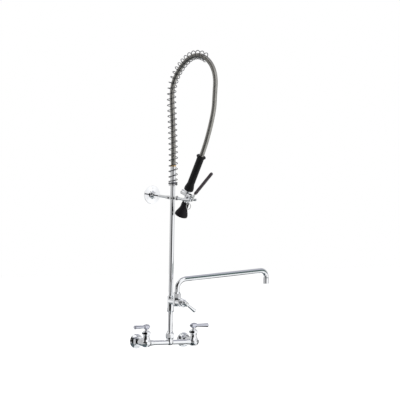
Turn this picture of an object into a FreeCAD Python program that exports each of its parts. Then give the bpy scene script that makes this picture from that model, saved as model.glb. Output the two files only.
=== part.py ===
"""Wall-mounted pre-rinse faucet with an add-on swing spout.

Millimetres, +Z up. The wall plane is Y = 0 and everything stands out from it towards -Y. The
origin lies midway between the two supply inlets, at the height of the crossbar's axis.
"""
import FreeCAD
import Part
import math
import os

Vec = FreeCAD.Vector
X_AXIS = Vec(1, 0, 0)
Y_AXIS = Vec(0, 1, 0)
Z_AXIS = Vec(0, 0, 1)
OUTWARD = Vec(0, -1, 0)

# Clearances
RUN = 0.08          # radial, turning and sliding fits
FIT = 0.05          # radial, screwed and pushed fits that stay put
SEAT = 0.3          # axial, between a moving face and its stop

# Base: wall flanges, supply arms and coupling nuts
INLET_CENTRES = 203.2
WALL_TO_BAR = 80.0
FLANGE_R = 27.8
FLANGE_DEPTH = 9.0
FLANGE_WALL = 1.5
FLANGE_RIM = 1.6
ARM_R = 13.3
ARM_THREAD_R = 9.3
ARM_THREAD_DEPTH = 12.0
ARM_BORE_R = 7.0
ARM_COLLAR_R = 15.4
ARM_COLLAR_FROM_WALL = 14.0
ARM_COLLAR_T = 3.0
GASKET_T = 2.0
COUPLING_FLATS = 36.0
COUPLING_BACK = 10.0
COUPLING_LENGTH = 18.0
INLET_THREAD_R = 15.4
INLET_THREAD_LENGTH = 10.0
INLET_R = 14.0

# Base: valve bodies and crossbar
BODY_TOP = 31.0
BODY_NECK_R = 11.2
BODY_BELLY_R = 20.5
BODY_BELLY_Z = 0.0
BODY_BOTTOM = -15.0
BODY_FOOT_R = 9.0
SEAT_Z = -6.0
PASSAGE_R = 3.0
PASSAGE_Z = -9.5
PASSAGE_FROM_AXIS = 17.5
BAR_R = 9.5
BAR_BORE_R = 6.0
BAR_END_FROM_AXIS = 12.0
BAR_FLARE_R = 11.5
BAR_FLARE_FROM_AXIS = 20.0
BAR_FLARE_LENGTH = 14.0
HUB_R = 12.0
HUB_TOP = 20.0
HUB_SKIRT_R = 13.2
HUB_DEPTH = 10.5
HUB_FOOT_R = 7.0
HUB_SKIRT_TOP = 11.5

# Cartridge, bonnet and spindle, the same in all three valves, measured from the valve's centre
CART_R = 8.9
CART_TOP = 38.0
CART_NECK_R = 7.0
CART_CHAMBER_R = 6.8
CART_CHAMBER_TOP = 8.8
CART_FLOOR_T = 3.0
WINDOW_R = 3.0
WINDOW_Z = 4.0
PORT_R = 2.0
PORT_OFFSET = 3.5
SPINDLE_R = 4.0
SPINDLE_TOP = 66.0
DISC_R = 6.5
DISC_T = 3.0
COLLAR_T = 1.5
BONNET_NECK_T = 2.5
BONNET_FLATS = 32.5
BONNET_HEX_T = 7.5
BONNET_TOP = 49.2
BONNET_DOME_R = 13.8
BONNET_NECK_R = 7.0

# Lever handles
LEVER_Z = 62.0
LEVER_LENGTH = 57.5
ADDON_LEVER_LENGTH = 51.0
LEVER_SWING_IN = 10.0
ADDON_LEVER_DROP = 36.0
LEVER_HUB_R = 9.0
LEVER_HUB_FRONT = 11.0
LEVER_HUB_BACK = 9.0
LEVER_CONE_BACK = 15.0
LEVER_BOSS_R = 7.0
LEVER_BOSS_Z = 50.5
BLADE_ROOT = (5.6, 5.3)
BLADE_MIDDLE = (6.8, 6.4)
BLADE_TIP = (8.2, 7.4)
ADDON_BLADE_SHARE = 0.84
BLADE_END_DOME = 1.6
LEVER_SCREW_R = 2.2
LEVER_SCREW_HEAD_R = 4.6
LEVER_SCREW_HEAD_T = 2.4
LEVER_SCREW_SINK = 1.6
LEVER_SCREW_TIP = 59.0

# Riser and its nut
RISER_R = 9.0
RISER_BORE_R = 6.5
RISER_GASKET_T = 1.5
RISER_COLLAR_R = 11.4
RISER_COLLAR_T = 3.0
RISER_NUT_FLATS = 31.0
RISER_NUT_BOTTOM = 14.0
RISER_NUT_HEX_LOW = 21.0
RISER_NUT_HEX_TOP = 34.0
RISER_NUT_TOP = 43.5
RISER_NUT_FOOT_R = 13.4
RISER_NUT_CONE_R = 11.0
RISER_SOCKET = 12.0
UPPER_RISER_TOP = 612.0

# Add-on faucet on the riser
ADDON_BOTTOM = 115.0
ADDON_TOP = 178.0
ADDON_R = 13.5
ADDON_EDGE = 3.0
BRANCH_Z = 158.0
BRANCH_R = 13.5
BRANCH_BORE_R = 5.5
SPOUT_OUT = 49.5
BOSS_R = 15.5
BOSS_BOTTOM = 141.5
BOSS_TOP = 175.7
BOSS_THREAD_R = 12.8
BOSS_THREAD_TOP = 184.0
ADDON_VALVE_OUT = 56.0
BOSS_FLOOR = 173.0
RISE_PASSAGE_R = 3.2

# Swing spout
SPOUT_R = 9.5
SPOUT_WALL = 1.4
SPOUT_REACH = 385.0
SPOUT_SLOPE = 4.15
SPOUT_CORNER_Z = 242.4
SPOUT_BEND_R = 38.0
SPOUT_TIP_BEND_R = 23.0
SPOUT_LOW = 177.0
SPOUT_COLLAR_R = 12.2
SPOUT_COLLAR_T = 2.0
BEARING_T = 3.0
SPOUT_NUT_FLATS = 28.0
SPOUT_NUT_HEX = 14.0
SPOUT_NUT_CONE = 6.0
SPOUT_NUT_LIP_R = 11.0
SEAL_R = 0.6
SEAL_HEIGHTS = (179.0, 182.0)
AERATOR_R = 11.3
AERATOR_BOTTOM = 218.5
AERATOR_TOP = 242.5
AERATOR_LIP_R = 8.3
AERATOR_LIP_T = 2.0
INSERT_T = 7.0
INSERT_HOLE_R = 0.8
INSERT_RING_RADII = (0.0, 3.2, 6.2)
INSERT_RING_HOLES = (1, 6, 12)

# Wall bracket, clamp and hook
BRACKET_Z = 549.0
BRACKET_REACH = 165.0
ROD_R = 4.75
PLATE_R = 34.5
PLATE_EDGE_T = 2.2
PLATE_HUB_T = 4.5
PLATE_HOLE_PCD = 50.0
PLATE_HOLE_R = 2.6
PLATE_HOLES = 3
SOCKET_BASE_R = 12.0
SOCKET_NOSE_R = 8.0
SOCKET_LENGTH = 19.0
SET_SCREW_R = 2.5
CLAMP_HEIGHT = 12.0
CLAMP_GAP = 0.8
CLAMP_CHEEK = 13.0
CLAMP_CHEEK_LENGTH = 17.5
CLAMP_ARM = 8.0
CLAMP_BACK = 42.0
CLAMP_FRONT = 41.0
ROD_END_FROM_RISER = 17.0
CLAMP_BOLT_R = 2.0
CLAMP_BOLT_OUT = 13.2
CLAMP_BOLT_HEAD_R = 3.6
CLAMP_BOLT_HEAD_T = 3.2
HOOK_BEND_OUT = 45.0
HOOK_BEND_R = 15.0
HOOK_AZIMUTH = 15.0
HOOK_CENTRE_FROM_BEND = 43.2
HOOK_HALF_WIDTH = 15.5
HOOK_PRONG = 36.0
HOOK_SCREW_OUT = 36.0
HOOK_SCREW_R = 2.2
HOOK_SCREW_HEAD_R = 3.4
HOOK_SCREW_HEAD_T = 4.0

# Hose, its sleeve and ferrule
SLEEVE_R = 10.5
SLEEVE_BOTTOM = 595.0
SLEEVE_TOP = 668.0
SLEEVE_ROUND = 3.0
SPRING_SEAT_T = 2.0
SLEEVE_TOP_SOCKET_R = 8.0
SLEEVE_TOP_SOCKET = 16.0
FERRULE_R = 11.2
FERRULE_T = 6.0
FERRULE_BORE_R = 5.6
HOSE_R = 9.2
HOSE_WALL = 1.2
LINER_WALL = 2.0
HOSE_AZIMUTH = 12.5

# Support spring
WIRE_R = 1.5
COIL_R = 16.3
COIL_PITCH = 20.9
CLOSED_PITCH = 3.75
CLOSED_TURNS = 2.0
OPENING_TURNS = 1.5
COIL_TURNS = 32.0
SPRING_START_Z = 599.2
ARCH_OFFSET = -0.9
LEAN_OFFSET = 1.5
ARCH_FROM = 330.0
ARCH_FULL = 420.0

# Spray valve, in its own frame: u towards the lever, v to the right, w up along the grip
SPRAY_TILT = 27.0
HEAD_U = 4.0
GRIP_U = -6.2
BARREL_W = 20.0
BARREL_TILT = 8.4
BARREL_R = 9.0
BARREL_BACK = -29.5
BARREL_FRONT = 22.0
CHAMBER_R = 6.5
VALVE_SEAT_BACK = -2.0
VALVE_SEAT_FRONT = 1.0
VALVE_SEAT_R = 3.2
CAP_T = 6.0
CAP_SPIGOT = 6.0
GUIDE_R = 6.4
GUIDE_SPIGOT = 10.0
GUIDE_FLANGE_T = 2.0
PLUNGER_R = 2.4
PLUNGER_TIP = 29.6
PLUNGER_TIP_BEVEL = 1.1
PLUNGER_DISC_R = 5.2
PLUNGER_DISC_T = 3.0
PLUNGER_TAIL = 9.0
PLUNGER_TAIL_R = 1.6
PLUNGER_SPRING_R = 3.6
PLUNGER_WIRE_R = 0.6
PLUNGER_SPRING_TURNS = 7
NECK_R = 8.5
NECK_BOTTOM = -13.0
NECK_COLLAR_R = 13.0
NECK_COLLAR_W = 8.48
NECK_COLLAR_T = 5.0
NECK_BORE_R = 3.6
GRIP_HUB_R = 11.0
GRIP_HUB_TOP = 44.0
GRIP_SPIGOT_R = 8.0
GRIP_SPIGOT_TOP = 60.0
GRIP_BORE_R = 4.0
GRIP_R = 13.8
GRIP_SKIRT_R = 18.0
GRIP_BOTTOM = 37.4
GRIP_SKIRT_TOP = 64.0
GRIP_TOP = 179.5
GRIP_TUBE_R = 8.0
GRIP_TUBE_BORE_R = 5.6
GRIP_COLLAR_R = 18.4
GRIP_COLLAR_T = 6.0

# Spray valve lever
PIVOT_U = 24.0
PIVOT_W = 8.5
PIVOT_R = 2.0
PIVOT_PIN_LENGTH = 17.0
EAR_R = 4.3
EAR_GAP = 6.6
EAR_T = 3.0
ARM_T = 3.0
ARM_WIDTH = 6.0
ARM_ELBOW = (31.5, 13.0)
ARM_SHOULDER = (31.0, 40.0)
LEVER_TILT = 19.9
COVER_LENGTH = 127.0
COVER_WIDTH = 13.0
COVER_T = 10.4
COVER_OUT = 0.3
CORE_WIDTH = 8.6
CORE_T = 2.6
CORE_END_GAP = 8.0
COVER_LOW = 4.0

# Spray head and hanging ring
BELL_TOP_R = 13.5
BELL_WAIST_R = 14.8
BELL_WAIST_W = -30.0
BELL_MOUTH_R = 25.0
BELL_MOUTH_W = -67.3
BELL_WALL = 3.2
BELL_LIP = 3.0
BELL_EDGE_R = 2.2
DIFFUSER_TOP_R = 10.6
DIFFUSER_WAIST_R = 11.6
DIFFUSER_WAIST_W = -38.0
DIFFUSER_T = 1.6
DIFFUSER_ROOF_T = 3.0
FACE_T = 2.5
FACE_LAP = 1.2
FACE_RING_RADII = (6.0, 11.0, 16.0)
FACE_RING_HOLES = (6, 12, 18)
FACE_HOLE_R = 0.9
FACE_SCREW_R = 1.6
FACE_SCREW_HEAD_R = 3.0
EYE_U = 18.0
EYE_W = -5.6
EYE_R = 4.2
EYE_HOLE_R = 2.3
EYE_T = 2.5
RING_WIRE_R = 1.2
RING_R = 11.2

# Corners of the hose's route as (distance in front of the riser, height) in the vertical plane
# of HOSE_AZIMUTH; the last stretch turns out of that plane to meet the grip.
HOSE_CORNERS = (
    (0, 737), (-8, 851), (-18, 959), (7, 1015), (46, 1058), (89, 1088), (136, 1097), (183, 1085),
    (218, 1054), (234, 1010), (230, 953), (227, 887),
)
HOSE_LAST_RUN = 50.5


# Shape helpers

def rod(radius, start, end):
    """A cylinder from one point to another."""
    return Part.makeCylinder(radius, (end - start).Length, start, end - start)


def on_axis(shape, base, axis, turn=0.0):
    """The shape, drawn about +Z from the origin, stood on base along axis and turned about it."""
    place = FreeCAD.Placement(base, FreeCAD.Rotation(Z_AXIS, axis))
    spin = FreeCAD.Placement(Vec(0, 0, 0), FreeCAD.Rotation(Z_AXIS, turn))
    moved = shape.copy()
    moved.Placement = place.multiply(spin).multiply(moved.Placement)
    return moved


def outline(points, place):
    """A closed wire: (a, b) ends a straight edge, (a mid, b mid, a, b) ends an arc."""
    edges = []
    here = place(*points[0][-2:])
    for step in list(points[1:]) + [points[0]]:
        there = place(*step[-2:])
        if len(step) == 4:
            edges.append(Part.Arc(here, place(*step[:2]), there).toShape())
        else:
            edges.append(Part.LineSegment(here, there).toShape())
        here = there
    return Part.Wire(edges)


def turned(points):
    """A solid of revolution about Z from its closed outline of (radius, height) points."""
    face = Part.Face(outline(points, lambda r, h: Vec(r, 0, h)))
    return face.revolve(Vec(0, 0, 0), Z_AXIS, 360)


def extruded(points, place, direction):
    """A solid from its closed outline, placed and carried along direction."""
    return Part.Face(outline(points, place)).extrude(direction)


def ring(outer, inner, height, base=Vec(0, 0, 0), axis=Z_AXIS):
    """A flat ring or short tube."""
    body = Part.makeCylinder(outer, height, base, axis)
    return body.cut(Part.makeCylinder(inner, height, base, axis))


def hexagon(flats, height, base=Vec(0, 0, 0), axis=Z_AXIS, turn=0.0):
    """A hexagonal prism given across its flats, its corners chamfered by a turned blank."""
    corner = flats / math.sqrt(3)
    points = [(corner * math.cos(math.radians(60 * k)), corner * math.sin(math.radians(60 * k)))
              for k in range(6)]
    prism = extruded(points, lambda a, b: Vec(a, b, 0), Vec(0, 0, height))
    bevel = (corner - flats / 2) * 0.8
    blank = turned([(0, 0), (corner - bevel, 0), (corner, bevel), (corner, height - bevel),
                    (corner - bevel, height), (0, height)])
    return on_axis(prism.common(blank), base, axis, turn)


def joined(shapes):
    """One solid from touching or crossing shapes, without inner seams."""
    return shapes[0].fuse(list(shapes[1:])).removeSplitter()


def group(solids):
    """Separate identical pieces kept in one file."""
    return Part.makeCompound(solids)


def route_edges(points, radii=None):
    """Straight runs joined by tangent arcs, as (kind, data) pieces with their lengths.

    An arc takes 0.45 of the shorter run beside its corner unless radii gives its radius.
    """
    pieces = []
    used = []
    here = points[0]
    for k in range(1, len(points) - 1):
        before = points[k] - points[k - 1]
        after = points[k + 1] - points[k]
        turn = before.getAngle(after)
        if radii is None:
            cut = 0.45 * min(before.Length, after.Length)
            radius = cut / math.tan(turn / 2)
        else:
            radius = radii[k - 1]
            cut = radius * math.tan(turn / 2)
        into = Vec(before).normalize()
        out = Vec(after).normalize()
        start = points[k] - into * cut
        end = points[k] + out * cut
        inward = (out - into).normalize()
        centre = points[k] + inward * (radius / math.cos(turn / 2))
        middle = centre - inward * radius
        pieces.append(("line", here, start, into))
        pieces.append(("arc", start, middle, end, centre, radius, turn, into))
        used.append(radius)
        here = end
    last = Vec(points[-1] - here)
    pieces.append(("line", here, points[-1], last.normalize()))
    return pieces, used


def route_wire(pieces):
    """The wire of a route's runs and arcs."""
    edges = []
    for piece in pieces:
        if piece[0] == "line":
            edges.append(Part.LineSegment(piece[1], piece[2]).toShape())
        else:
            edges.append(Part.Arc(piece[1], piece[2], piece[3]).toShape())
    return Part.Wire(edges)


def piece_length(piece):
    if piece[0] == "line":
        return (piece[2] - piece[1]).Length
    return piece[5] * piece[6]


def route_at(pieces, along):
    """The point and the direction of a route at a distance along it."""
    for piece in pieces:
        length = piece_length(piece)
        if along <= length or piece is pieces[-1]:
            break
        along -= length
    if piece[0] == "line":
        return piece[1] + piece[3] * along, Vec(piece[3])
    start, centre, radius, into = piece[1], piece[4], piece[5], piece[7]
    angle = along / radius
    spoke = (start - centre) * (1 / radius)
    point = centre + (spoke * math.cos(angle) + into * math.sin(angle)) * radius
    return point, into * math.cos(angle) - spoke * math.sin(angle)


def pipe(wire, radius, start, direction):
    """A solid round bar along a wire."""
    circle = Part.Wire([Part.Circle(start, direction, radius).toShape()])
    return wire.makePipeShell([circle], True, False)


def biarc(p0, t0, p1, t1):
    """Two arcs that leave p0 along t0 and reach p1 along t1."""
    gap = p1 - p0
    both = t0 + t1
    a = 2 * (1 - t0.dot(t1))
    b = gap.dot(both)
    if a < 1e-9:
        reach = gap.dot(gap) / (4 * gap.dot(t1))
    else:
        reach = (-b + math.sqrt(b * b + a * gap.dot(gap))) / a
    q0 = p0 + t0 * reach
    q1 = p1 - t1 * reach
    meet = (q0 + q1) * 0.5
    edges = []
    for start, corner, end in ((p0, q0, meet), (meet, q1, p1)):
        half = (start + end) * 0.5
        into = (corner - start).normalize()
        chord = (end - start)
        turn = into.getAngle(chord)
        if turn < 1e-5:
            edges.append(Part.LineSegment(start, end).toShape())
            continue
        rise = chord.Length / 2 * math.tan(turn / 2)
        middle = half + (corner - half).normalize() * rise
        edges.append(Part.Arc(start, middle, end).toShape())
    return edges


def wound(point_at, turns, wire_r, per_turn=4, lead=None):
    """An unbroken wound wire through point_at(turn), with a straight end of one wire width."""
    step = 1.0 / per_turn
    count = int(round(turns * per_turn))
    small = 1e-4
    spots = []
    for k in range(count + 1):
        t = k * step
        ahead = point_at(t + small)
        behind = point_at(t - small)
        spots.append((point_at(t), (ahead - behind).normalize()))
    lead = 2 * wire_r if lead is None else lead
    first, first_dir = spots[0]
    last, last_dir = spots[-1]
    start = first - first_dir * lead
    edges = [Part.LineSegment(start, first).toShape()]
    for (p0, t0), (p1, t1) in zip(spots[:-1], spots[1:]):
        edges += biarc(p0, t0, p1, t1)
    edges.append(Part.LineSegment(last, last + last_dir * lead).toShape())
    return pipe(Part.Wire(edges), wire_r, start, first_dir)


def least_gap(point_at, turns, wire_r, per_turn=24):
    """The least gap between a wound wire and its neighbouring turns, over sampled points."""
    count = int(turns * per_turn)
    points = [point_at(k / per_turn) for k in range(count + 1)]
    least = 1e9
    for k, p in enumerate(points):
        for j in range(k + per_turn // 2, min(k + 2 * per_turn, count) + 1):
            least = min(least, p.distanceToPoint(points[j]))
    return least - 2 * wire_r


# Frames

BAR_Y = -WALL_TO_BAR
HALF_CENTRES = INLET_CENTRES / 2
RISER_AT = Vec(0, BAR_Y, 0)


def level_direction(azimuth):
    """The horizontal direction that many degrees from straight out, towards +X."""
    a = math.radians(azimuth)
    return Vec(math.sin(a), -math.cos(a), 0)


def hook_centre():
    """The centre of the hook's fork, which is the origin of the spray valve's own frame."""
    bend = RISER_AT + OUTWARD * HOOK_BEND_OUT + Z_AXIS * BRACKET_Z
    return bend + level_direction(HOOK_AZIMUTH) * HOOK_CENTRE_FROM_BEND


def spray_frame():
    """The matrix from the spray valve's own frame to the part's."""
    tilt = math.radians(SPRAY_TILT)
    level = level_direction(HOOK_AZIMUTH)
    u = level * math.cos(tilt) - Z_AXIS * math.sin(tilt)
    w = level * math.sin(tilt) + Z_AXIS * math.cos(tilt)
    v = w.cross(u)
    at = hook_centre()
    return FreeCAD.Matrix(u.x, v.x, w.x, at.x, u.y, v.y, w.y, at.y, u.z, v.z, w.z, at.z,
                          0, 0, 0, 1)


def in_spray_frame(shape):
    moved = shape.copy()
    moved.Placement = FreeCAD.Placement(spray_frame()).multiply(moved.Placement)
    return moved


def barrel_point(along, across=0.0):
    """A point of the spray valve's own frame, given along and across its barrel."""
    tilt = math.radians(BARREL_TILT)
    return Vec(along * math.cos(tilt) - across * math.sin(tilt), 0,
               BARREL_W + along * math.sin(tilt) + across * math.cos(tilt))


# Base

def wall_flange():
    inner = ARM_R + SEAT
    return turned([
        (FLANGE_R - FLANGE_WALL, 0), (FLANGE_R, 0), (FLANGE_R, FLANGE_RIM),
        (FLANGE_R - 5.0, FLANGE_DEPTH - 3.4, inner + 2.5, FLANGE_DEPTH),
        (inner, FLANGE_DEPTH), (inner, FLANGE_DEPTH - FLANGE_WALL),
        (inner + 2.0, FLANGE_DEPTH - FLANGE_WALL),
        (FLANGE_R - 6.2, FLANGE_DEPTH - 3.4 - FLANGE_WALL * 0.8, FLANGE_R - FLANGE_WALL, FLANGE_RIM),
    ])


def supply_arm():
    top = ARM_COLLAR_FROM_WALL + ARM_COLLAR_T
    return turned([
        (ARM_THREAD_R, 0), (ARM_R, 0), (ARM_R, ARM_COLLAR_FROM_WALL),
        (ARM_COLLAR_R, ARM_COLLAR_FROM_WALL), (ARM_COLLAR_R, top), (ARM_BORE_R, top),
        (ARM_BORE_R, ARM_THREAD_DEPTH + 2.0), (ARM_THREAD_R, ARM_THREAD_DEPTH),
    ])


def coupling_nut():
    nut = hexagon(COUPLING_FLATS, COUPLING_LENGTH, Vec(0, 0, COUPLING_BACK), Z_AXIS, 30)
    throat = Part.makeCylinder(ARM_R + FIT * 2, COUPLING_LENGTH, Vec(0, 0, COUPLING_BACK))
    thread = Part.makeCylinder(ARM_COLLAR_R + FIT * 2, COUPLING_LENGTH,
                               Vec(0, 0, ARM_COLLAR_FROM_WALL - FIT))
    return nut.cut([throat, thread])


def coupling_gasket():
    top = ARM_COLLAR_FROM_WALL + ARM_COLLAR_T
    return ring(ARM_COLLAR_R - 0.4, ARM_BORE_R, GASKET_T, Vec(0, 0, top))


def at_inlets(shape):
    """The piece at both inlets, its +Z turned to point away from the wall."""
    return group([on_axis(shape, Vec(side * HALF_CENTRES, 0, 0), OUTWARD) for side in (-1, 1)])


def cartridge():
    """Ceramic cartridge housing about +Z, its windows facing both ways along X."""
    floor = SEAT_Z + CART_FLOOR_T
    shell = turned([
        (0, SEAT_Z), (CART_R, SEAT_Z), (CART_R, BODY_TOP), (CART_NECK_R, BODY_TOP),
        (CART_NECK_R, CART_TOP), (SPINDLE_R + RUN, CART_TOP), (SPINDLE_R + RUN, CART_CHAMBER_TOP),
        (CART_CHAMBER_R, CART_CHAMBER_TOP), (CART_CHAMBER_R, floor), (0, floor),
    ])
    window = rod(WINDOW_R, Vec(-CART_R * 2, 0, WINDOW_Z), Vec(CART_R * 2, 0, WINDOW_Z))
    port = Part.makeCylinder(PORT_R, CART_FLOOR_T * 2, Vec(0, PORT_OFFSET, SEAT_Z - 1))
    return shell.cut([window, port])


def spindle():
    """Turning spindle with its port disc, which lines up with the floor's port when open."""
    low = SEAT_Z + CART_FLOOR_T + SEAT
    collar = CART_CHAMBER_TOP - SEAT - COLLAR_T
    body = turned([
        (0, low), (DISC_R, low), (DISC_R, low + DISC_T), (SPINDLE_R, low + DISC_T),
        (SPINDLE_R, collar), (DISC_R, collar), (DISC_R, collar + COLLAR_T),
        (SPINDLE_R, collar + COLLAR_T), (SPINDLE_R, SPINDLE_TOP), (0, SPINDLE_TOP),
    ])
    port = Part.makeCylinder(PORT_R, DISC_T * 1.5, Vec(PORT_OFFSET, 0, low - 1))
    screw = Part.makeCylinder(LEVER_SCREW_R, SPINDLE_TOP, Vec(0, 0, LEVER_SCREW_TIP))
    return body.cut([port, screw])


def bonnet():
    """Hexagon with a short neck and a domed top, screwed down over the cartridge's neck."""
    hex_low = BODY_TOP + BONNET_NECK_T
    foot = hexagon(BONNET_FLATS, BONNET_HEX_T, Vec(0, 0, hex_low), Z_AXIS, 12)
    dome_foot = hex_low + BONNET_HEX_T
    dome = turned([
        (0, BODY_TOP), (BODY_NECK_R, BODY_TOP), (BODY_NECK_R, hex_low + 1),
        (BONNET_DOME_R, hex_low + 1), (BONNET_DOME_R, dome_foot),
        (BONNET_DOME_R - 1.2, dome_foot + 3.4, BONNET_NECK_R, dome_foot + 5.4),
        (BONNET_NECK_R, BONNET_TOP), (0, BONNET_TOP),
    ])
    hollow = Part.makeCylinder(CART_NECK_R + FIT, CART_TOP - BODY_TOP + FIT, Vec(0, 0, BODY_TOP))
    bore = Part.makeCylinder(SPINDLE_R + RUN, BONNET_TOP, Vec(0, 0, BODY_TOP))
    return joined([foot, dome]).cut([hollow, bore])


def valve_body(side):
    """Bell-shaped body; side is -1 for the left valve and 1 for the right."""
    centre = Vec(side * HALF_CENTRES, BAR_Y, 0)
    bell = turned([
        (0, BODY_BOTTOM), (BODY_FOOT_R, BODY_BOTTOM),
        (BODY_BELLY_R - 2.7, BODY_BELLY_Z - 8.6, BODY_BELLY_R, BODY_BELLY_Z),
        (BODY_BELLY_R - 0.5, BODY_BELLY_Z + 3.6, BODY_BELLY_R - 1.9, BODY_BELLY_Z + 7.0),
        (BODY_NECK_R + 3.2, BODY_BELLY_Z + 16.0, BODY_NECK_R, BODY_TOP - 4.5),
        (BODY_NECK_R + 1.2, BODY_TOP - 3.0), (BODY_NECK_R + 1.2, BODY_TOP), (0, BODY_TOP),
    ])
    bell = on_axis(bell, centre, Z_AXIS)
    face = Vec(centre.x, -(ARM_COLLAR_FROM_WALL + ARM_COLLAR_T + GASKET_T), 0)
    thread_end = face + OUTWARD * INLET_THREAD_LENGTH
    inlet = rod(INLET_THREAD_R, face, thread_end)
    stub = rod(INLET_R, thread_end, centre)
    outlet = rod(BAR_FLARE_R, centre, centre - X_AXIS * side * BAR_FLARE_FROM_AXIS)
    solid = joined([bell, inlet, stub, outlet])
    chamber = Part.makeCylinder(CART_R + FIT, BODY_TOP - SEAT_Z, centre + Z_AXIS * SEAT_Z)
    bar_end = centre - X_AXIS * side * BAR_END_FROM_AXIS
    socket = rod(BAR_R, bar_end, bar_end - X_AXIS * side * BAR_FLARE_FROM_AXIS)
    waterway = rod(BAR_BORE_R, centre, bar_end)
    link = centre + Y_AXIS * PASSAGE_FROM_AXIS
    supply = rod(ARM_BORE_R, face, link - Y_AXIS * PASSAGE_R)
    drop = rod(PASSAGE_R, link, link + Z_AXIS * PASSAGE_Z)
    below = rod(PASSAGE_R, link + Z_AXIS * PASSAGE_Z, centre + Z_AXIS * PASSAGE_Z)
    rise = rod(PASSAGE_R, centre + Z_AXIS * PASSAGE_Z, centre + Z_AXIS * SEAT_Z)
    return solid.cut([chamber, socket, waterway, supply, drop, below, rise])


def crossbar():
    reach = HALF_CENTRES - BAR_END_FROM_AXIS
    bar = on_axis(Part.makeCylinder(BAR_R, 2 * reach), Vec(-reach, BAR_Y, 0), X_AXIS)
    flare = turned([(0, 0), (BAR_R, 0), (BAR_FLARE_R, BAR_FLARE_LENGTH), (0, BAR_FLARE_LENGTH)])
    solids = [bar]
    for side in (-1, 1):
        out = X_AXIS * side
        start = HALF_CENTRES - BAR_FLARE_FROM_AXIS - BAR_FLARE_LENGTH
        solids.append(on_axis(flare, RISER_AT + out * start, out))
    hub = turned([
        (0, -HUB_DEPTH), (HUB_FOOT_R, -HUB_DEPTH),
        (HUB_SKIRT_R - 1.6, -HUB_DEPTH / 2, HUB_SKIRT_R, 0), (HUB_SKIRT_R, HUB_SKIRT_TOP - 1.5),
        (HUB_R, HUB_SKIRT_TOP), (HUB_R, HUB_TOP), (0, HUB_TOP),
    ])
    solids.append(on_axis(hub, RISER_AT, Z_AXIS))
    solid = joined(solids)
    along = rod(BAR_BORE_R, RISER_AT - X_AXIS * reach, RISER_AT + X_AXIS * reach)
    up = rod(BAR_BORE_R, RISER_AT, RISER_AT + Z_AXIS * HUB_TOP)
    return solid.cut([along, up])


def lever(length, share=1.0):
    """Lever handle about +Z at its spindle, pointing along +X; share scales its blade."""
    centre = Vec(0, 0, LEVER_Z)
    hub = turned([
        (0, -LEVER_CONE_BACK), (3.4, -LEVER_CONE_BACK), (LEVER_HUB_R - 0.6, -LEVER_HUB_BACK),
        (LEVER_HUB_R, -LEVER_HUB_BACK + 1.5), (LEVER_HUB_R, LEVER_HUB_FRONT - 3),
        (LEVER_HUB_R - 1.2, LEVER_HUB_FRONT), (0, LEVER_HUB_FRONT),
    ])
    hub = on_axis(hub, centre, X_AXIS)
    boss = Part.makeCylinder(LEVER_BOSS_R, LEVER_Z - LEVER_BOSS_Z, Vec(0, 0, LEVER_BOSS_Z))
    sections = []
    root = LEVER_HUB_FRONT - 3.0
    for along, (wide, high) in ((root, BLADE_ROOT), ((root + length) / 2, BLADE_MIDDLE),
                                (length - BLADE_END_DOME, BLADE_TIP),
                                (length, (BLADE_TIP[0] - 1.6, BLADE_TIP[1] - 1.6))):
        at = centre + X_AXIS * along
        wide, high = wide * share, high * share
        ellipse = Part.Ellipse(at + Y_AXIS * wide, at + Z_AXIS * high, at)
        sections.append(Part.Wire([ellipse.toShape()]))
    blade = Part.makeLoft(sections[:3], True, False)
    tip = Part.makeLoft(sections[2:], True, True)
    solid = joined([hub, boss, blade, tip])
    head_low = LEVER_Z + LEVER_HUB_R - LEVER_SCREW_SINK
    bore = Part.makeCylinder(SPINDLE_R, SPINDLE_TOP - LEVER_BOSS_Z, Vec(0, 0, LEVER_BOSS_Z))
    shank = Part.makeCylinder(LEVER_SCREW_R, LEVER_HUB_R * 2, Vec(0, 0, LEVER_Z))
    recess = Part.makeCylinder(LEVER_SCREW_HEAD_R, LEVER_HUB_R, Vec(0, 0, head_low))
    return solid.cut([bore, shank, recess])


def lever_screw():
    head_low = LEVER_Z + LEVER_HUB_R - LEVER_SCREW_SINK
    top = head_low + LEVER_SCREW_HEAD_T
    return turned([
        (0, LEVER_SCREW_TIP), (LEVER_SCREW_R, LEVER_SCREW_TIP), (LEVER_SCREW_R, head_low),
        (LEVER_SCREW_HEAD_R - FIT, head_low), (LEVER_SCREW_HEAD_R - FIT, top - 0.8),
        (LEVER_SCREW_HEAD_R - 1.2, top), (0, top),
    ])


def base_centre(side):
    return Vec(side * HALF_CENTRES, BAR_Y, 0)


# Riser

def riser_gasket():
    return ring(RISER_COLLAR_R, BAR_BORE_R, RISER_GASKET_T, RISER_AT + Z_AXIS * HUB_TOP)


def lower_riser():
    foot = HUB_TOP + RISER_GASKET_T
    top = ADDON_BOTTOM + RISER_SOCKET
    tube = turned([
        (RISER_BORE_R, foot), (RISER_COLLAR_R, foot), (RISER_COLLAR_R, foot + RISER_COLLAR_T),
        (RISER_R, foot + RISER_COLLAR_T), (RISER_R, top), (RISER_BORE_R, top),
    ])
    return on_axis(tube, RISER_AT, Z_AXIS)


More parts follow.
